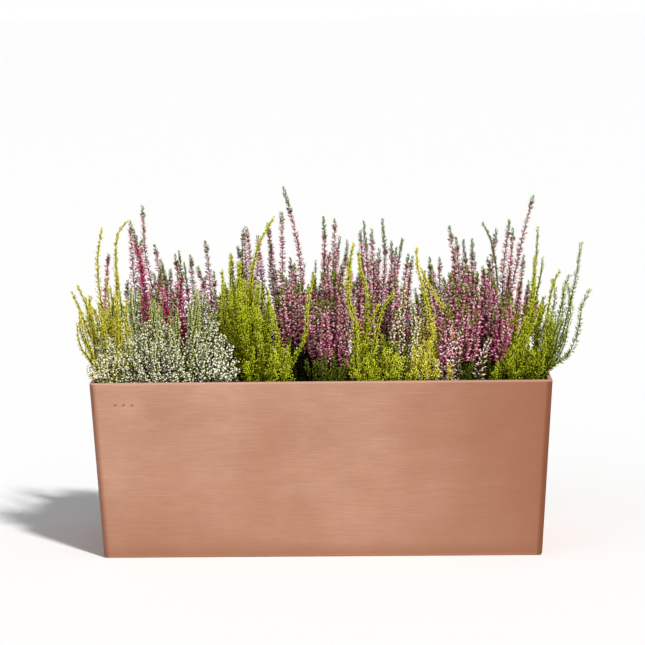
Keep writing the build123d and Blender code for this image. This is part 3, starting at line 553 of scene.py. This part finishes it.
class Sprig:
    """A stem along a smooth curve, with the frames that its buds and leaves need."""

    def __init__(self, growth, route, wiggle=1.2):
        self.growth = growth
        self.rng = growth.rng
        points = smooth(np.array(route, dtype=float), 26)
        share = np.linspace(0, 1, len(points))
        sway = np.sin(share * self.rng.uniform(5, 10) + self.rng.uniform(0, 6)) * wiggle * share
        turn = self.rng.uniform(0, 2 * math.pi)
        points[:, 0] += sway * math.cos(turn)
        points[:, 1] += sway * math.sin(turn)
        # A stem may lean out over the rim, the more so the higher it is, and stays off the handles.
        over = 1.5 * np.clip(points[:, 2] - RIM_Z - 2, 0, None)
        points[:, 0] = np.clip(points[:, 0], -INSIDE_X + 2 - over, INSIDE_X - 2 + over)
        points[:, 1] = np.clip(points[:, 1], -INSIDE_Y + 2 - over, INSIDE_Y - 2 + over)
        above = np.clip(points[:, 2] - HANDLE_TOP, 0, None)
        beside = (np.abs(points[:, 1]) < HANDLE_SIDE) & (above < 40)
        limit = HANDLE_IN - 2 + 1.4 * above[beside]
        points[beside, 0] = np.clip(points[beside, 0], -limit, limit)
        self.points = points
        steps = np.linalg.norm(np.diff(points, axis=0), axis=1)
        self.along = np.concatenate(([0], np.cumsum(steps)))
        self.length = self.along[-1]

    def at(self, distance):
        """Points and unit tangents at distances along the stem."""
        def point(where):
            return np.column_stack([np.interp(where, self.along, self.points[:, k]) for k in range(3)])

        return point(distance), unit(point(distance + 1.5) - point(distance - 1.5))

    def whorls(self, start, end, spacing, members):
        """Places around the stem: share of the way, point, tangent and outward direction of each."""
        nodes = np.arange(start, end, spacing)
        if not len(nodes):
            return None
        nodes = np.repeat(nodes, members)
        nodes = nodes + self.rng.uniform(-0.45, 0.45, len(nodes)) * spacing
        place, tangent = self.at(nodes)
        side, third = across(tangent)
        index = np.arange(len(nodes))
        angle = (index // members) * GOLDEN + (index % members) * 2 * math.pi / members
        angle = angle + self.rng.uniform(-0.5, 0.5, len(nodes))
        outward = np.cos(angle)[:, None] * side + np.sin(angle)[:, None] * third
        share = np.clip((nodes - start) / max(end - start, 1e-6), 0, 1)
        return share, place, tangent, outward

    def scales(self, start, end, spacing, members, length, width, tilt, group, tint, stand_off=0.3,
               close=0.0):
        """Small leaves along the stem, shorter towards its end; close is how far they fold up there."""
        found = self.whorls(start, end, spacing, members)
        if found is None:
            return
        share, place, tangent, outward = found
        n = len(share)
        angle = np.radians(tilt * (1 - close * share ** 2) * self.rng.uniform(0.75, 1.25, n))[:, None]
        axis = tangent * np.cos(angle) + outward * np.sin(angle)
        size = length * (1 - 0.25 * share) * self.rng.uniform(0.75, 1.2, n)
        low, high = tint
        shade = low + (high - low) * share + self.rng.normal(0, 0.13, n)
        self.growth.put("leaf", place + outward * stand_off, axis, size, width * size / length, group, shade)

    def wood(self, base=0.75, tip=0.3):
        self.growth.stem(self.points[::3], base, tip)


def smooth(knots, count):
    """A Catmull-Rom curve through the knots."""
    padded = np.vstack((2 * knots[0] - knots[1], knots, 2 * knots[-1] - knots[-2]))
    spans = len(knots) - 1
    found = []
    for value in np.linspace(0, spans, count):
        span = min(int(value), spans - 1)
        t = value - span
        a, b, c, d = padded[span:span + 4]
        found.append(0.5 * (2 * b + (c - a) * t + (2 * a - 5 * b + 4 * c - d) * t * t
                            + (3 * b - a - 3 * c + d) * t ** 3))
    return np.array(found)


def flower_spike(growth, route, tint=0.4, reach=7.8, bud=5.6, green=16.0, bare=0.25, fill=4, spacing=3.1,
                 fade=-0.25, slim=0.62):
    """A heather flower spike: rings of narrow flowers that stand out from the stem, and a leafy tip."""
    sprig = Sprig(growth, route)
    rng = sprig.rng
    flower_end = sprig.length - green
    flower_start = min(bare * sprig.length, flower_end - 5)
    found = sprig.whorls(flower_start, flower_end, spacing, fill)
    if found is not None:
        share, place, tangent, outward = found
        n = len(share)
        wide = (1 - slim * share ** 1.3) * np.clip(0.6 + share * 4, 0, 1)
        size = bud * (0.7 + 0.3 * wide) * rng.uniform(0.75, 1.2, n)
        angle = np.radians((74 - 22 * share) * rng.uniform(0.75, 1.2, n))[:, None]
        axis = unit(tangent * np.cos(angle) + outward * np.sin(angle) + rng.normal(0, 0.12, (n, 3)))
        stalk = np.clip(reach * wide - 0.8 * size, 0.2, None) * rng.uniform(0.2, 1.2, n)
        shade = tint + fade * (share - 0.5) + rng.normal(0, 0.26, n)
        growth.put("bud", place + outward * stalk[:, None], axis, size, size * 0.38, FLOWER, shade)
    sprig.scales(0.08 * sprig.length, flower_end, 3.6, 3, 4.4, 1.1, 62, LEAF, (0.1, 0.7), 0.6)
    sprig.scales(flower_end - 5, sprig.length - 2, 1.8, 3, 4.6, 1.7, 56, LEAF, (0.25, 0.85), 0.3, 0.6)
    sprig.wood()


def bead_spray(growth, route, tint=0.75, reach=5.0, bead=3.0, spacing=3.0, fill=3, bare=0.15,
               leafy=(0.3, 0.85)):
    """A white heather shoot: tiny round flowers on short stalks among fine pale leaves."""
    sprig = Sprig(growth, route, 2.5)
    rng = sprig.rng
    share, place, tangent, outward = sprig.whorls(bare * sprig.length, sprig.length, spacing, fill)
    n = len(share)
    size = bead * (1 - 0.2 * share) * rng.uniform(0.7, 1.2, n)
    off = reach * (1 - 0.4 * share) * rng.uniform(0.2, 1.0, n)
    axis = unit(outward + 0.7 * tangent + rng.normal(0, 0.25, (n, 3)))
    growth.put("bead", place + outward * off[:, None], axis, size, size * 0.86, FLOWER,
               tint + rng.normal(0, 0.25, n))
    sprig.scales(0.1 * sprig.length, sprig.length - 2, 2.4, 3, 4.4, 1.15, 58, LEAF, leafy, 0.8, 0.6)
    sprig.wood()


def feather(growth, route, tint=0.5, reach=12.0, spacing=1.8, start=0.12, leaf=4.5, members=1):
    """A lime or yellow shoot: side shoots all round it, like a small fir twig, closely set with leaves."""
    sprig = Sprig(growth, route)
    rng = sprig.rng
    share, place, tangent, outward = sprig.whorls(start * sprig.length, 0.97 * sprig.length, spacing, members)
    n = len(share)
    span = reach * np.clip((1 - share) ** 0.55, 0.3, 1) * rng.uniform(0.55, 1.2, n)
    angle = np.radians((40 - 12 * share) * rng.uniform(0.7, 1.3, n))[:, None]
    heading = unit(tangent * np.cos(angle) + outward * np.sin(angle))
    steps = np.maximum((span / 2.3).astype(int), 2)
    mood = rng.normal(0, 0.13, n) + rng.normal(0, 0.12)
    member = np.repeat(np.arange(n), steps)
    order = np.concatenate([np.arange(count) for count in steps])
    part = (order + 0.5) / steps[member]
    reached = part * span[member]
    bend = 0.25 * part ** 2 * span[member]
    middle = place[member] + heading[member] * reached[:, None] + tangent[member] * bend[:, None]
    line = unit(heading[member] + tangent[member] * (0.5 * part)[:, None])
    side, third = across(line)
    for turn in (0, 1):
        around = turn * math.pi + order * 1.6 + rng.uniform(-0.4, 0.4, len(order))
        out = np.cos(around)[:, None] * side + np.sin(around)[:, None] * third
        lean = np.radians(32 * rng.uniform(0.6, 1.25, len(order)))[:, None]
        axis = line * np.cos(lean) + out * np.sin(lean)
        size = leaf * rng.uniform(0.75, 1.15, len(order)) * (1 - 0.2 * part)
        shade = tint + mood[member] + 0.9 * (part - 0.55) + 0.25 * (share[member] - 0.5)
        shade = shade + rng.normal(0, 0.1, len(order))
        growth.put("leaf", middle, axis, size, size * 0.29, LEAF, shade)
    sprig.scales(0.2 * sprig.length, sprig.length - 2, 2.4, 3, leaf, 1.3, 44, LEAF, (tint - 0.3, tint + 0.3),
                 0.3, 0.6)
    sprig.wood(0.8, 0.3)


def needle(growth, route, tint=(0.2, 0.6), leaf=4.0, spacing=2.2, tilt=58, width=1.2):
    """A leafy shoot without flowers."""
    sprig = Sprig(growth, route)
    sprig.scales(0.12 * sprig.length, sprig.length - 2, spacing, 3, leaf, width, tilt, LEAF, tint, 0.4, 0.45)
    sprig.wood(0.8, 0.35)


# ---- where sprigs may stand --------------

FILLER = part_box("filler_tube")
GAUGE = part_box("gauge_tube")
KEEP_X = (FILLER[0][0] / MM - 6, GAUGE[1][0] / MM + 8)
KEEP_Y = FILLER[0][1] / MM - 8
POCKET_X = 216.0
POCKET_Y = 47.0
ROOT_X = 234.0
ROOT_Y = 84.0
PATH_X = (220, 243)  # what a raised handle passes through, for the tips below PATH_TOP
PATH_HALF_Y = 42
PATH_TOP = 236


def settle(x, y):
    """Moves a root onto open soil, away from the handles' pockets, the filler and the gauge."""
    x = min(max(x, -ROOT_X), ROOT_X)
    y = min(max(y, -ROOT_Y), ROOT_Y)
    if abs(x) > POCKET_X and abs(y) < POCKET_Y:
        x = math.copysign(POCKET_X, x)
    if KEEP_X[0] < x < KEEP_X[1] and y > KEEP_Y:
        y = KEEP_Y
    return x, y


def blocked(x, y, z):
    """Whether a tip would be in the way of the filler's cap or of a raised handle."""
    over_filler = KEEP_X[0] - 4 < x < KEEP_X[1] + 4 and y > KEEP_Y - 4
    over_handle = PATH_X[0] < abs(x) < PATH_X[1] and abs(y) < PATH_HALF_Y and z < PATH_TOP
    return over_filler or over_handle


def rise(root, tip, rng, fan=0.8):
    """A route that leaves the soil outwards and then turns up to its tip."""
    root = np.array(root, dtype=float)
    tip = np.array(tip, dtype=float)
    knee = root + (tip - root) * np.array((fan * 0.62, fan * 0.62, 0.42))
    knee[:2] += rng.normal(0, 2.5, 2)
    shoulder = root + (tip - root) * np.array((fan * 1.08, fan * 1.08, 0.74))
    shoulder[:2] += rng.normal(0, 2.5, 2)
    return [root, knee, shoulder, tip]


def clump(growth, style, count, crown, depth, low, heart, spread=0.62, lift=0.5, even=0.55, **options):
    """Fills a plant's space with sprigs.

    crown is the outline of the tips seen from the front, as (x, z); depth is the (front, back) range of
    y; low is the height of the lowest tips; heart is the (x, y) that the stems come from.
    """
    rng = growth.rng
    crown = np.array(crown, dtype=float)
    for _ in range(count):
        for _ in range(20):
            x = rng.uniform(crown[0, 0], crown[-1, 0])
            way = rng.uniform(0, 1)
            y = depth[0] + way * (depth[1] - depth[0])
            top = np.interp(x, crown[:, 0], crown[:, 1])
            ceiling = low + (top - low) * (lift + (1 - lift) * min(1.0, way * 1.6))
            z = low + (ceiling - low) * rng.uniform(0, 1) ** even
            if not blocked(x, y, z):
                break
        root = settle(
            heart[0] + (x - heart[0]) * spread + rng.normal(0, 5),
            heart[1] + (y - heart[1]) * spread + rng.normal(0, 4))
        style(growth, rise((*root, SOIL_Z), (x, y, z), rng), **options)


def single(growth, style, y, route, root_shift=(0, 0), **options):
    """One chosen sprig: its route is (x, z) points at depth y, and it grows from the soil below."""
    first_x = route[0][0]
    root = settle(first_x * 0.97 + root_shift[0], y * 0.9 + root_shift[1])
    points = [(*root, SOIL_Z)] + [(x, y, z) for x, z in route]
    style(growth, points, **options)


def spike_to(growth, root, tip, fan, **options):
    """A flower spike with a chosen tip, from the open soil nearest to its root."""
    flower_spike(growth, rise((*settle(*root), SOIL_Z), tip, growth.rng, fan), **options)


def feathers(growth, *rows):
    """Chosen feather shoots: each row is the depth y, tint, reach and the route's (x, z) points."""
    for y, tint, reach, *route in rows:
        single(growth, feather, y, route, tint=tint, reach=reach)


def understory(growth, count, xs, ys, top, tint=(0.0, 0.25)):
    """Short dark shoots that close the base of a plant."""
    rng = growth.rng
    for _ in range(count):
        x, y = settle(rng.uniform(*xs), rng.uniform(*ys))
        lean_x, lean_y = rng.normal(0, 7, 2)
        z = SOIL_Z + rng.uniform(0.35, 1.0) * (top - SOIL_Z)
        if blocked(x + lean_x, y + lean_y, z):
            continue
        needle(growth, rise((x, y, SOIL_Z), (x + lean_x, y + lean_y, z), rng), tint, 5.5, 2.4, 58)


# ---- the plants --------------------------

def yellow_left(growth):
    single(growth, feather, -62, ((-224, 195), (-230, 237), (-239, 281), (-242, 323), (-236, 361)), tint=0.75,
           reach=10.0, spacing=2.4)
    single(growth, feather, -58, ((-221, 200), (-221, 281), (-222, 322), (-220, 352), (-207, 370)), tint=0.65,
           reach=10.0, spacing=2.2)
    single(growth, feather, -60, ((-236, 201), (-250, 236), (-262, 270), (-272, 292)), tint=0.65,
           reach=9.0, spacing=2.6)
    single(growth, feather, -66, ((-235, 200), (-248, 250), (-256, 280), (-264, 300)), tint=0.65,
           reach=9.0, spacing=2.6)
    single(growth, feather, -58, ((-238, 200), (-250, 212), (-263, 227)), tint=0.45, reach=5.0, leaf=3.0)
    single(growth, feather, -88, ((-219, 198), (-221, 216)), tint=0.35, reach=7.0)
    crown = ((-266, 262), (-258, 292), (-246, 288), (-236, 314), (-222, 318), (-208, 290))
    clump(growth, feather, 36, crown, (-88, -30), 226, (-222, -58), 0.4, 0.8, 0.5, tint=0.62, reach=9.5,
          leaf=3.8, spacing=2.4)
    low_crown = ((-254, 226), (-244, 244), (-222, 252), (-206, 246))
    clump(growth, bead_spray, 34, low_crown, (-98, -60), 196, (-222, -72), 0.3, 0.6, 0.6)
    understory(growth, 30, (-234, -204), (-84, -48), 218)


def white_left(growth):
    outline = ((-246, 250), (-231, 272), (-214, 296), (-198, 290), (-176, 284), (-160, 276), (-132, 292),
               (-116, 272), (-104, 244), (-93, 212))
    low_outline = ((-240, 226), (-214, 250), (-180, 252), (-150, 254), (-120, 248), (-100, 228), (-88, 200))
    clump(growth, bead_spray, 54, outline, (-90, 2), 228, (-165, -44), 0.45, 0.45, 0.6, spacing=3.8, tint=0.7,
          leafy=(0.7, 1.1))
    clump(growth, bead_spray, 62, low_outline, (-101, -56), 190, (-162, -66), 0.4, 0.35, 0.7, bare=0.1,
          leafy=(0.1, 0.6), tint=0.85)
    clump(growth, needle, 58, outline, (-70, 6), 240, (-165, -30), 0.5, 0.9, 0.3, tint=(0.7, 1.5), width=1.7)
    for route in (((-124, 200), (-117, 240), (-110, 262)), ((-116, 200), (-108, 232), (-103, 246)),
                  ((-110, 200), (-100, 222), (-96, 234)), ((-106, 200), (-96, 212), (-91, 220)),
                  ((-104, 198), (-94, 204), (-87, 208)), ((-118, 200), (-110, 222), (-104, 232))):
        single(growth, bead_spray, -96, route, tint=0.95, fill=4)
    understory(growth, 60, (-232, -92), (-84, 2), 222)


def purple_left(growth):
    tips = ((-200, 376, 24), (-215, 359, 26), (-211, 349, 30), (-203, 338, 20), (-132, 336, 30),
            (-148, 320, 34), (-140, 306, 38), (-190, 330, 50), (-168, 318, 55))
    rng = growth.rng
    for x, z, y in tips:
        spike_to(growth, (x * 0.93 + rng.normal(0, 4), y * 0.8), (x, y, z), 0.7,
                 tint=0.25, green=8, bare=0.35)
    for x, z, y in ((-179, 318, 10), (-159, 326, 14), (-153, 313, 18)):
        spike_to(growth, (x * 0.95, y), (x, y, z), 0.7, tint=0.7, green=30, bare=0.3)
    single(growth, flower_spike, 20, ((-236, 215), (-245, 262), (-241, 300), (-237, 325)), tint=0.5,
           reach=4.4, green=6, bare=0.3)
    for y, route in ((-30, ((-190, 205), (-193, 245), (-196, 297), (-203, 345))),
                     (-30, ((-162, 205), (-167, 245), (-172, 270), (-178, 300))),
                     (-32, ((-150, 205), (-153, 235), (-156, 270), (-151, 308)))):
        single(growth, flower_spike, y, route, tint=0.85, green=6, bare=0.42, spacing=2.4, fade=-0.6,
               reach=5.5)
    crown = ((-250, 262), (-225, 310), (-200, 330), (-165, 296), (-120, 306))
    clump(growth, flower_spike, 34, crown, (4, 96), 240, (-168, 46), 0.6, 0.75, 0.6, tint=0.28, green=12)
    understory(growth, 60, (-214, -122), (4, 84), 250)


def lime_left(growth):
    outline = ((-90, 326), (-85, 329), (-74, 316), (-62, 296), (-49, 268), (-40, 232), (-32, 204))
    clump(growth, feather, 22, outline, (-99, -50), 204, (-66, -56), 0.5, 0.5, 0.6, tint=0.55, reach=14.0)
    shoulder = ((-116, 272), (-108, 302), (-97, 326), (-88, 328))
    clump(growth, feather, 9, shoulder, (-52, -20), 258, (-88, -34), 0.5, 0.9, 0.5, tint=0.6, reach=13.0)
    clump(growth, feather, 8, outline, (-50, 0), 250, (-78, -30), 0.5, 0.9, 0.5, tint=0.55, reach=11.0)
    feathers(
        growth,
        (-30, 0.8, 9.0, (-80, 240), (-76, 300), (-68, 334), (-59, 353), (-51, 369)),
        (-46, 0.7, 11.0, (-96, 205), (-106, 258), (-108, 312)),
        (-66, 0.6, 12.0, (-86, 205), (-94, 250), (-98, 290)),
        (-40, 0.6, 11.0, (-92, 205), (-98, 260), (-97, 330)),
        (-84, 0.6, 12.0, (-50, 200), (-46, 236), (-52, 276)),
        (-78, 0.8, 5.0, (-34, 205), (-17, 240), (-14, 270), (-11, 290), (-5, 310)),
        (-92, 0.6, 11.0, (-40, 196), (-36, 214), (-34, 232)))
    understory(growth, 60, (-96, -36), (-84, -4), 245, (0.05, 0.3))


def pink_back_left(growth):
    rng = growth.rng
    tips = ((-84, 352, 30), (-60, 356, 30), (-58, 334, 24), (-53, 306, 20), (-44, 371, 4), (-96, 330, 40),
            (-104, 318, 60), (-72, 340, 60), (-90, 346, 72))
    for x, z, y in tips:
        spike_to(growth, (x * 0.9 + rng.normal(0, 4), y * 0.9), (x, y, z), 0.6, tint=0.3, green=9, bare=0.3)
    needle(growth, rise((-84, 28, SOIL_Z), (-90, 30, 341), rng), (0.4, 0.8))
    needle(growth, rise((-34, -4, SOIL_Z), (-18, 0, 315), rng), (0.4, 0.8))
    flower_spike(growth, [(-24, -6, SOIL_Z), (-22, -4, 250), (-24, -2, 320), (-40, 0, 398)], tint=0.3,
                 green=26, bare=0.35, reach=4.6, slim=0.6)
    crown = ((-120, 300), (-100, 318), (-66, 326), (-48, 300))
    clump(growth, flower_spike, 30, crown, (2, 94), 240, (-90, 44), 0.6, 0.8, 0.6, tint=0.35, green=12)
    understory(growth, 56, (-118, -50), (2, 60), 262)


def pink_centre(growth):
    rng = growth.rng
    left = ((-50, 292), (-40, 316), (-30, 320), (-20, 312), (-8, 296))
    right = ((-10, 300), (4, 332), (18, 336), (32, 316))
    rich = {"tint": 0.42, "green": 8.0}
    clump(growth, flower_spike, 30, left, (-58, 24), 262, (-14, -22), 0.4, 0.8, 0.7, bare=0.5, **rich)
    clump(growth, flower_spike, 44, right, (-88, 22), 236, (8, -34), 0.5, 0.5, 0.65, bare=0.38, **rich)
    for x, z, green in ((4, 367, 24), (16, 362, 8), (21, 343, 20), (29, 339, 20)):
        spike_to(growth, (x * 0.7 + rng.normal(0, 3), -4), (x, 0, z), 0.6, tint=0.35, green=green, bare=0.4)
    needle(growth, rise((-4, -10, SOIL_Z), (-7, 0, 317), rng), (0.4, 0.75))
    understory(growth, 50, (-44, 26), (-50, 26), 262, (0.0, 0.3))
    understory(growth, 40, (-6, 28), (-84, -56), 228, (0.1, 0.7))


def lime_centre(growth):
    feathers(
        growth,
        (-86, 0.88, 13.0, (38, 200), (38, 256), (31, 284), (32, 320), (38, 346)),
        (-70, 0.8, 7.0, (46, 215), (51, 282), (44, 312), (42, 335)),
        (-86, 0.75, 9.0, (50, 200), (58, 230), (63, 252), (70, 274), (80, 290)),
        (-84, 0.7, 8.0, (48, 205), (50, 235), (56, 258), (63, 277)))
    crown = ((28, 214), (40, 248), (60, 240), (80, 234), (96, 230), (104, 212))
    clump(growth, feather, 34, crown, (-99, -40), 202, (66, -60), 0.55, 0.7, 0.6, tint=0.8, reach=12.0)
    for route in (((87, 205), (88, 244), (90, 270), (92, 298)), ((96, 205), (101, 250), (97, 282)),
                  ((82, 205), (80, 240), (84, 268)), ((104, 200), (105, 222), (104, 246))):
        single(growth, bead_spray, -72, route, reach=4.0)
    understory(growth, 60, (28, 98), (-84, -4), 235, (0.05, 0.35))


def pink_back_centre(growth):
    for x, z, green in ((49, 357, 28), (57, 348, 12), (45, 348, 10), (68, 362, 38), (78, 335, 14),
                        (90, 338, 28), (97, 321, 12), (103, 318, 10), (65, 327, 12), (84, 328, 12)):
        spike_to(growth, (64 + (x - 64) * 0.7, 16), (x, 18, z), 0.6, tint=0.3, green=green, bare=0.3)
    crown = ((34, 308), (50, 324), (75, 318), (104, 302), (116, 268))
    clump(growth, flower_spike, 54, crown, (-56, 94), 236, (70, 20), 0.6, 0.8, 0.65, tint=0.35, green=9)
    understory(growth, 50, (34, 102), (2, 60), 262)


def yellow_right(growth):
    feathers(
        growth,
        (-80, 0.88, 12.0, (118, 200), (118, 250), (114, 284), (107, 312), (104, 339)),
        (-76, 0.85, 8.0, (146, 205), (144, 240), (134, 268), (120, 292), (108, 316)),
        (-82, 0.8, 11.0, (124, 200), (124, 232), (122, 262)))
    crown = ((98, 240), (108, 264), (118, 276), (130, 268), (142, 236))
    clump(growth, feather, 30, crown, (-98, -40), 202, (118, -60), 0.5, 0.7, 0.6, tint=0.78, reach=11.0)
    for route in (((112, 198), (116, 224)), ((124, 198), (128, 216)), ((104, 198), (103, 230), (106, 262))):
        single(growth, bead_spray, -86, route, tint=0.9)
    understory(growth, 40, (98, 138), (-84, -4), 235, (0.05, 0.35))


def pink_right(growth):
    outline = ((124, 264), (134, 296), (150, 314), (170, 314), (190, 310), (206, 292))
    clump(growth, flower_spike, 62, outline, (-92, -4), 244, (164, -44), 0.6, 0.5, 0.62, tint=0.5, bare=0.44,
          green=8)
    for route in (((134, 200), (136, 226), (142, 262)), ((146, 200), (148, 222), (154, 252)),
                  ((140, 200), (141, 216), (140, 240)), ((172, 206), (177, 222), (182, 240))):
        single(growth, flower_spike, -84, route, tint=-0.1, green=5.0)
    understory(growth, 70, (134, 200), (-84, -50), 230, (0.1, 0.6))
    understory(growth, 30, (140, 200), (-50, -4), 245, (0.0, 0.3))


def pink_back_right(growth):
    for x, z, green in ((125, 293, 14), (104, 270, 8), (111, 262, 8), (118, 278, 10), (143, 354, 14),
                        (150, 340, 10), (159, 339, 24), (167, 340, 20), (185, 318, 12), (194, 350, 14),
                        (210, 360, 14), (213, 350, 10), (226, 320, 10)):
        spike_to(growth, (170 + (x - 170) * 0.6, 2), (x, 2, z), 0.65, tint=0.28, green=green, bare=0.3)
    flower_spike(growth, [(196, 4, SOIL_Z), (208, 4, 260), (222, 2, 330), (235, 0, 386)], tint=0.15, green=10,
                 bare=0.35, reach=5.5)
    needle(growth, [(188, 2, SOIL_Z), (196, 2, 280), (190, 0, 330), (178, 0, 357)], (0.5, 0.9), width=1.9)
    crown = ((108, 300), (140, 322), (170, 318), (200, 326), (236, 296), (250, 262))
    clump(growth, flower_spike, 56, crown, (2, 96), 236, (165, 46), 0.62, 0.8, 0.62, tint=0.32, green=10)
    understory(growth, 60, (108, 214), (2, 84), 255)


def lime_right(growth):
    outline = ((188, 206), (198, 240), (212, 262), (228, 280), (240, 296), (252, 296), (262, 262))
    clump(growth, feather, 32, outline, (-99, -30), 204, (214, -56), 0.45, 0.5, 0.6, tint=0.38, reach=14.0)
    back = ((200, 262), (222, 286), (240, 290), (250, 270))
    clump(growth, feather, 10, back, (-40, 0), 236, (214, -50), 0.5, 0.8, 0.5, tint=0.3, reach=12.0)
    single(growth, feather, -50, ((212, 205), (222, 240), (232, 290), (235, 326)), tint=0.65, reach=11.0)
    single(growth, needle, -46, ((218, 210), (228, 262), (234, 310), (237, 356)), tint=(0.2, 0.5), width=1.9)
    single(growth, needle, -44, ((220, 210), (232, 262), (240, 300), (243, 322)), tint=(0.1, 0.5), width=1.9)
    feathers(
        growth,
        (-60, 0.7, 8.0, (224, 205), (244, 250), (252, 290), (261, 311)),
        (-82, 0.75, 10.0, (198, 200), (210, 224), (228, 250), (240, 276)),
        (-76, 0.75, 9.0, (200, 200), (214, 240), (228, 270), (234, 300)))
    understory(growth, 50, (190, 234), (-84, -4), 235, (0.05, 0.3))


def sage_right(growth):
    for y, route in (
            (-62, ((238, 198), (258, 222), (268, 262), (277, 299), (284, 341))),
            (-66, ((238, 197), (256, 206), (272, 222), (281, 246), (284, 271), (294, 291))),
            (-58, ((238, 200), (256, 225), (264, 262), (265, 290), (271, 305))),
            (-60, ((238, 200), (252, 232), (260, 262), (265, 292))),
            (-60, ((240, 200), (262, 230), (272, 262), (268, 296))),
            (-54, ((236, 200), (248, 240), (256, 280), (252, 300)))):
        single(growth, needle, y, route, tint=(0.35, 0.9), leaf=5.8, spacing=2.1, tilt=66, width=1.8)
    crown = ((236, 246), (250, 276), (262, 270), (272, 240))
    clump(growth, needle, 22, crown, (-84, -50), 214, (234, -64), 0.3, 0.8, tint=(0.3, 0.9), leaf=5.2,
          tilt=64)
    understory(growth, 20, (212, 234), (-84, -50), 212)


WHITES = ((0.56, 0.58, 0.24), (0.93, 0.92, 0.68), (1.0, 1.0, 0.90))
PINKS = ((1.0, 0.83, 0.80), (0.96, 0.48, 0.57), (0.70, 0.14, 0.31), (0.58, 0.03, 0.21))
GREENS = ((0.028, 0.038, 0.002), (0.140, 0.205, 0.008), (0.34, 0.46, 0.04))
SAGES = ((0.034, 0.045, 0.002), (0.25, 0.35, 0.022), (0.64, 0.78, 0.22))
LIMES = ((0.050, 0.078, 0.002), (0.40, 0.50, 0.009), (0.88, 0.93, 0.070))
YELLOWS = ((0.085, 0.100, 0.004), (0.64, 0.64, 0.020), (1.0, 0.94, 0.15))
SOILS = ((0.022, 0.013, 0.008), (0.055, 0.034, 0.020), (0.12, 0.075, 0.045))
BROWNS = ((0.040, 0.022, 0.012), (0.085, 0.050, 0.028))

PLANTS = {
    "heather_yellow_left": (yellow_left, WHITES, YELLOWS),
    "heather_white_left": (white_left, WHITES, SAGES),
    "heather_purple_left": (purple_left, PINKS, GREENS),
    "heather_lime_left": (lime_left, WHITES, LIMES),
    "heather_pink_back_left": (pink_back_left, PINKS, GREENS),
    "heather_pink_centre": (pink_centre, PINKS, GREENS),
    "heather_lime_centre": (lime_centre, WHITES, LIMES),
    "heather_pink_back_centre": (pink_back_centre, PINKS, GREENS),
    "heather_yellow_right": (yellow_right, WHITES, YELLOWS),
    "heather_pink_right": (pink_right, PINKS, GREENS),
    "heather_pink_back_right": (pink_back_right, PINKS, GREENS),
    "heather_lime_right": (lime_right, WHITES, LIMES),
    "heather_sage_right": (sage_right, WHITES, SAGES),
}


def plant_material(name, flowers, leaves):
    """Colour from the UV map alone: u picks flower, leaf or wood, and v paints shade, dark at the base and
    none towards the tip.
    """
    shade = Shade(name)
    uv = shade.node("ShaderNodeUVMap", uv_map="OFBake")
    split = shade.node("ShaderNodeSeparateXYZ")
    shade.link(uv.outputs["UV"], split.inputs[0])
    stops = []
    for (low, high), colours in ((FLOWER, flowers), (LEAF, leaves), (WOOD, BROWNS)):
        for k, colour in enumerate(colours):
            stops.append((low + (high - low) * k / (len(colours) - 1), colour))
    tone = shade.ramp(split.outputs["X"], stops)
    # Painted shade: each bud, leaf, stem and crumb darkens towards its base, where it meets a stem or the
    # soil.
    depth = shade.ramp(split.outputs["Y"], (
        (0.0, (0.19, 0.12, 0.07)), (0.3, (0.46, 0.36, 0.30)),
        (0.6, (1.0, 1.0, 1.0)), (1.0, (1.0, 0.99, 0.97))))
    shade.colour(shade.mix(1.0, tone, depth, "MULTIPLY"))
    shade.set(Roughness=0.8, Specular_IOR_Level=0.03)
    return shade.material


def make_plants():
    for number, (node, (plant, flowers, leaves)) in enumerate(PLANTS.items()):
        growth = Growth(100 + number)
        plant(growth)
        name = node.replace("heather_", "sprigs_")
        piece = bpy.data.objects.new(name, growth.mesh(name))
        bpy.context.collection.objects.link(piece)
        piece.data.materials.append(plant_material(name + "_colour", flowers, leaves))
        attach(piece, "liner")
        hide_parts(node)


CRUMBS = 2400


def make_crumbs():
    """Loose lumps on the potting soil."""
    growth = Growth(99)
    rng = growth.rng
    places = []
    while len(places) < CRUMBS:
        x, y = rng.uniform(-ROOT_X, ROOT_X), rng.uniform(-ROOT_Y, ROOT_Y)
        if settle(x, y) == (x, y):
            places.append((x, y, SOIL_Z - rng.uniform(0.3, 1.2)))
    size = rng.gamma(4.0, 0.75, CRUMBS) + 0.8
    axis = unit(rng.normal(0, 0.5, (CRUMBS, 3)) + np.array((0, 0, 0.6)))
    growth.put("crumb", np.array(places), axis, size, size * rng.uniform(0.8, 1.3, CRUMBS), FLOWER,
               rng.uniform(0, 1, CRUMBS))
    piece = bpy.data.objects.new("soil_crumbs", growth.mesh("soil_crumbs"))
    bpy.context.collection.objects.link(piece)
    piece.data.materials.append(plant_material("soil_crumbs_colour", SOILS, SOILS))
    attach(piece, "liner")


make_camera()
make_light()
make_floor()
dress_hard_parts()
make_plants()
make_crumbs()
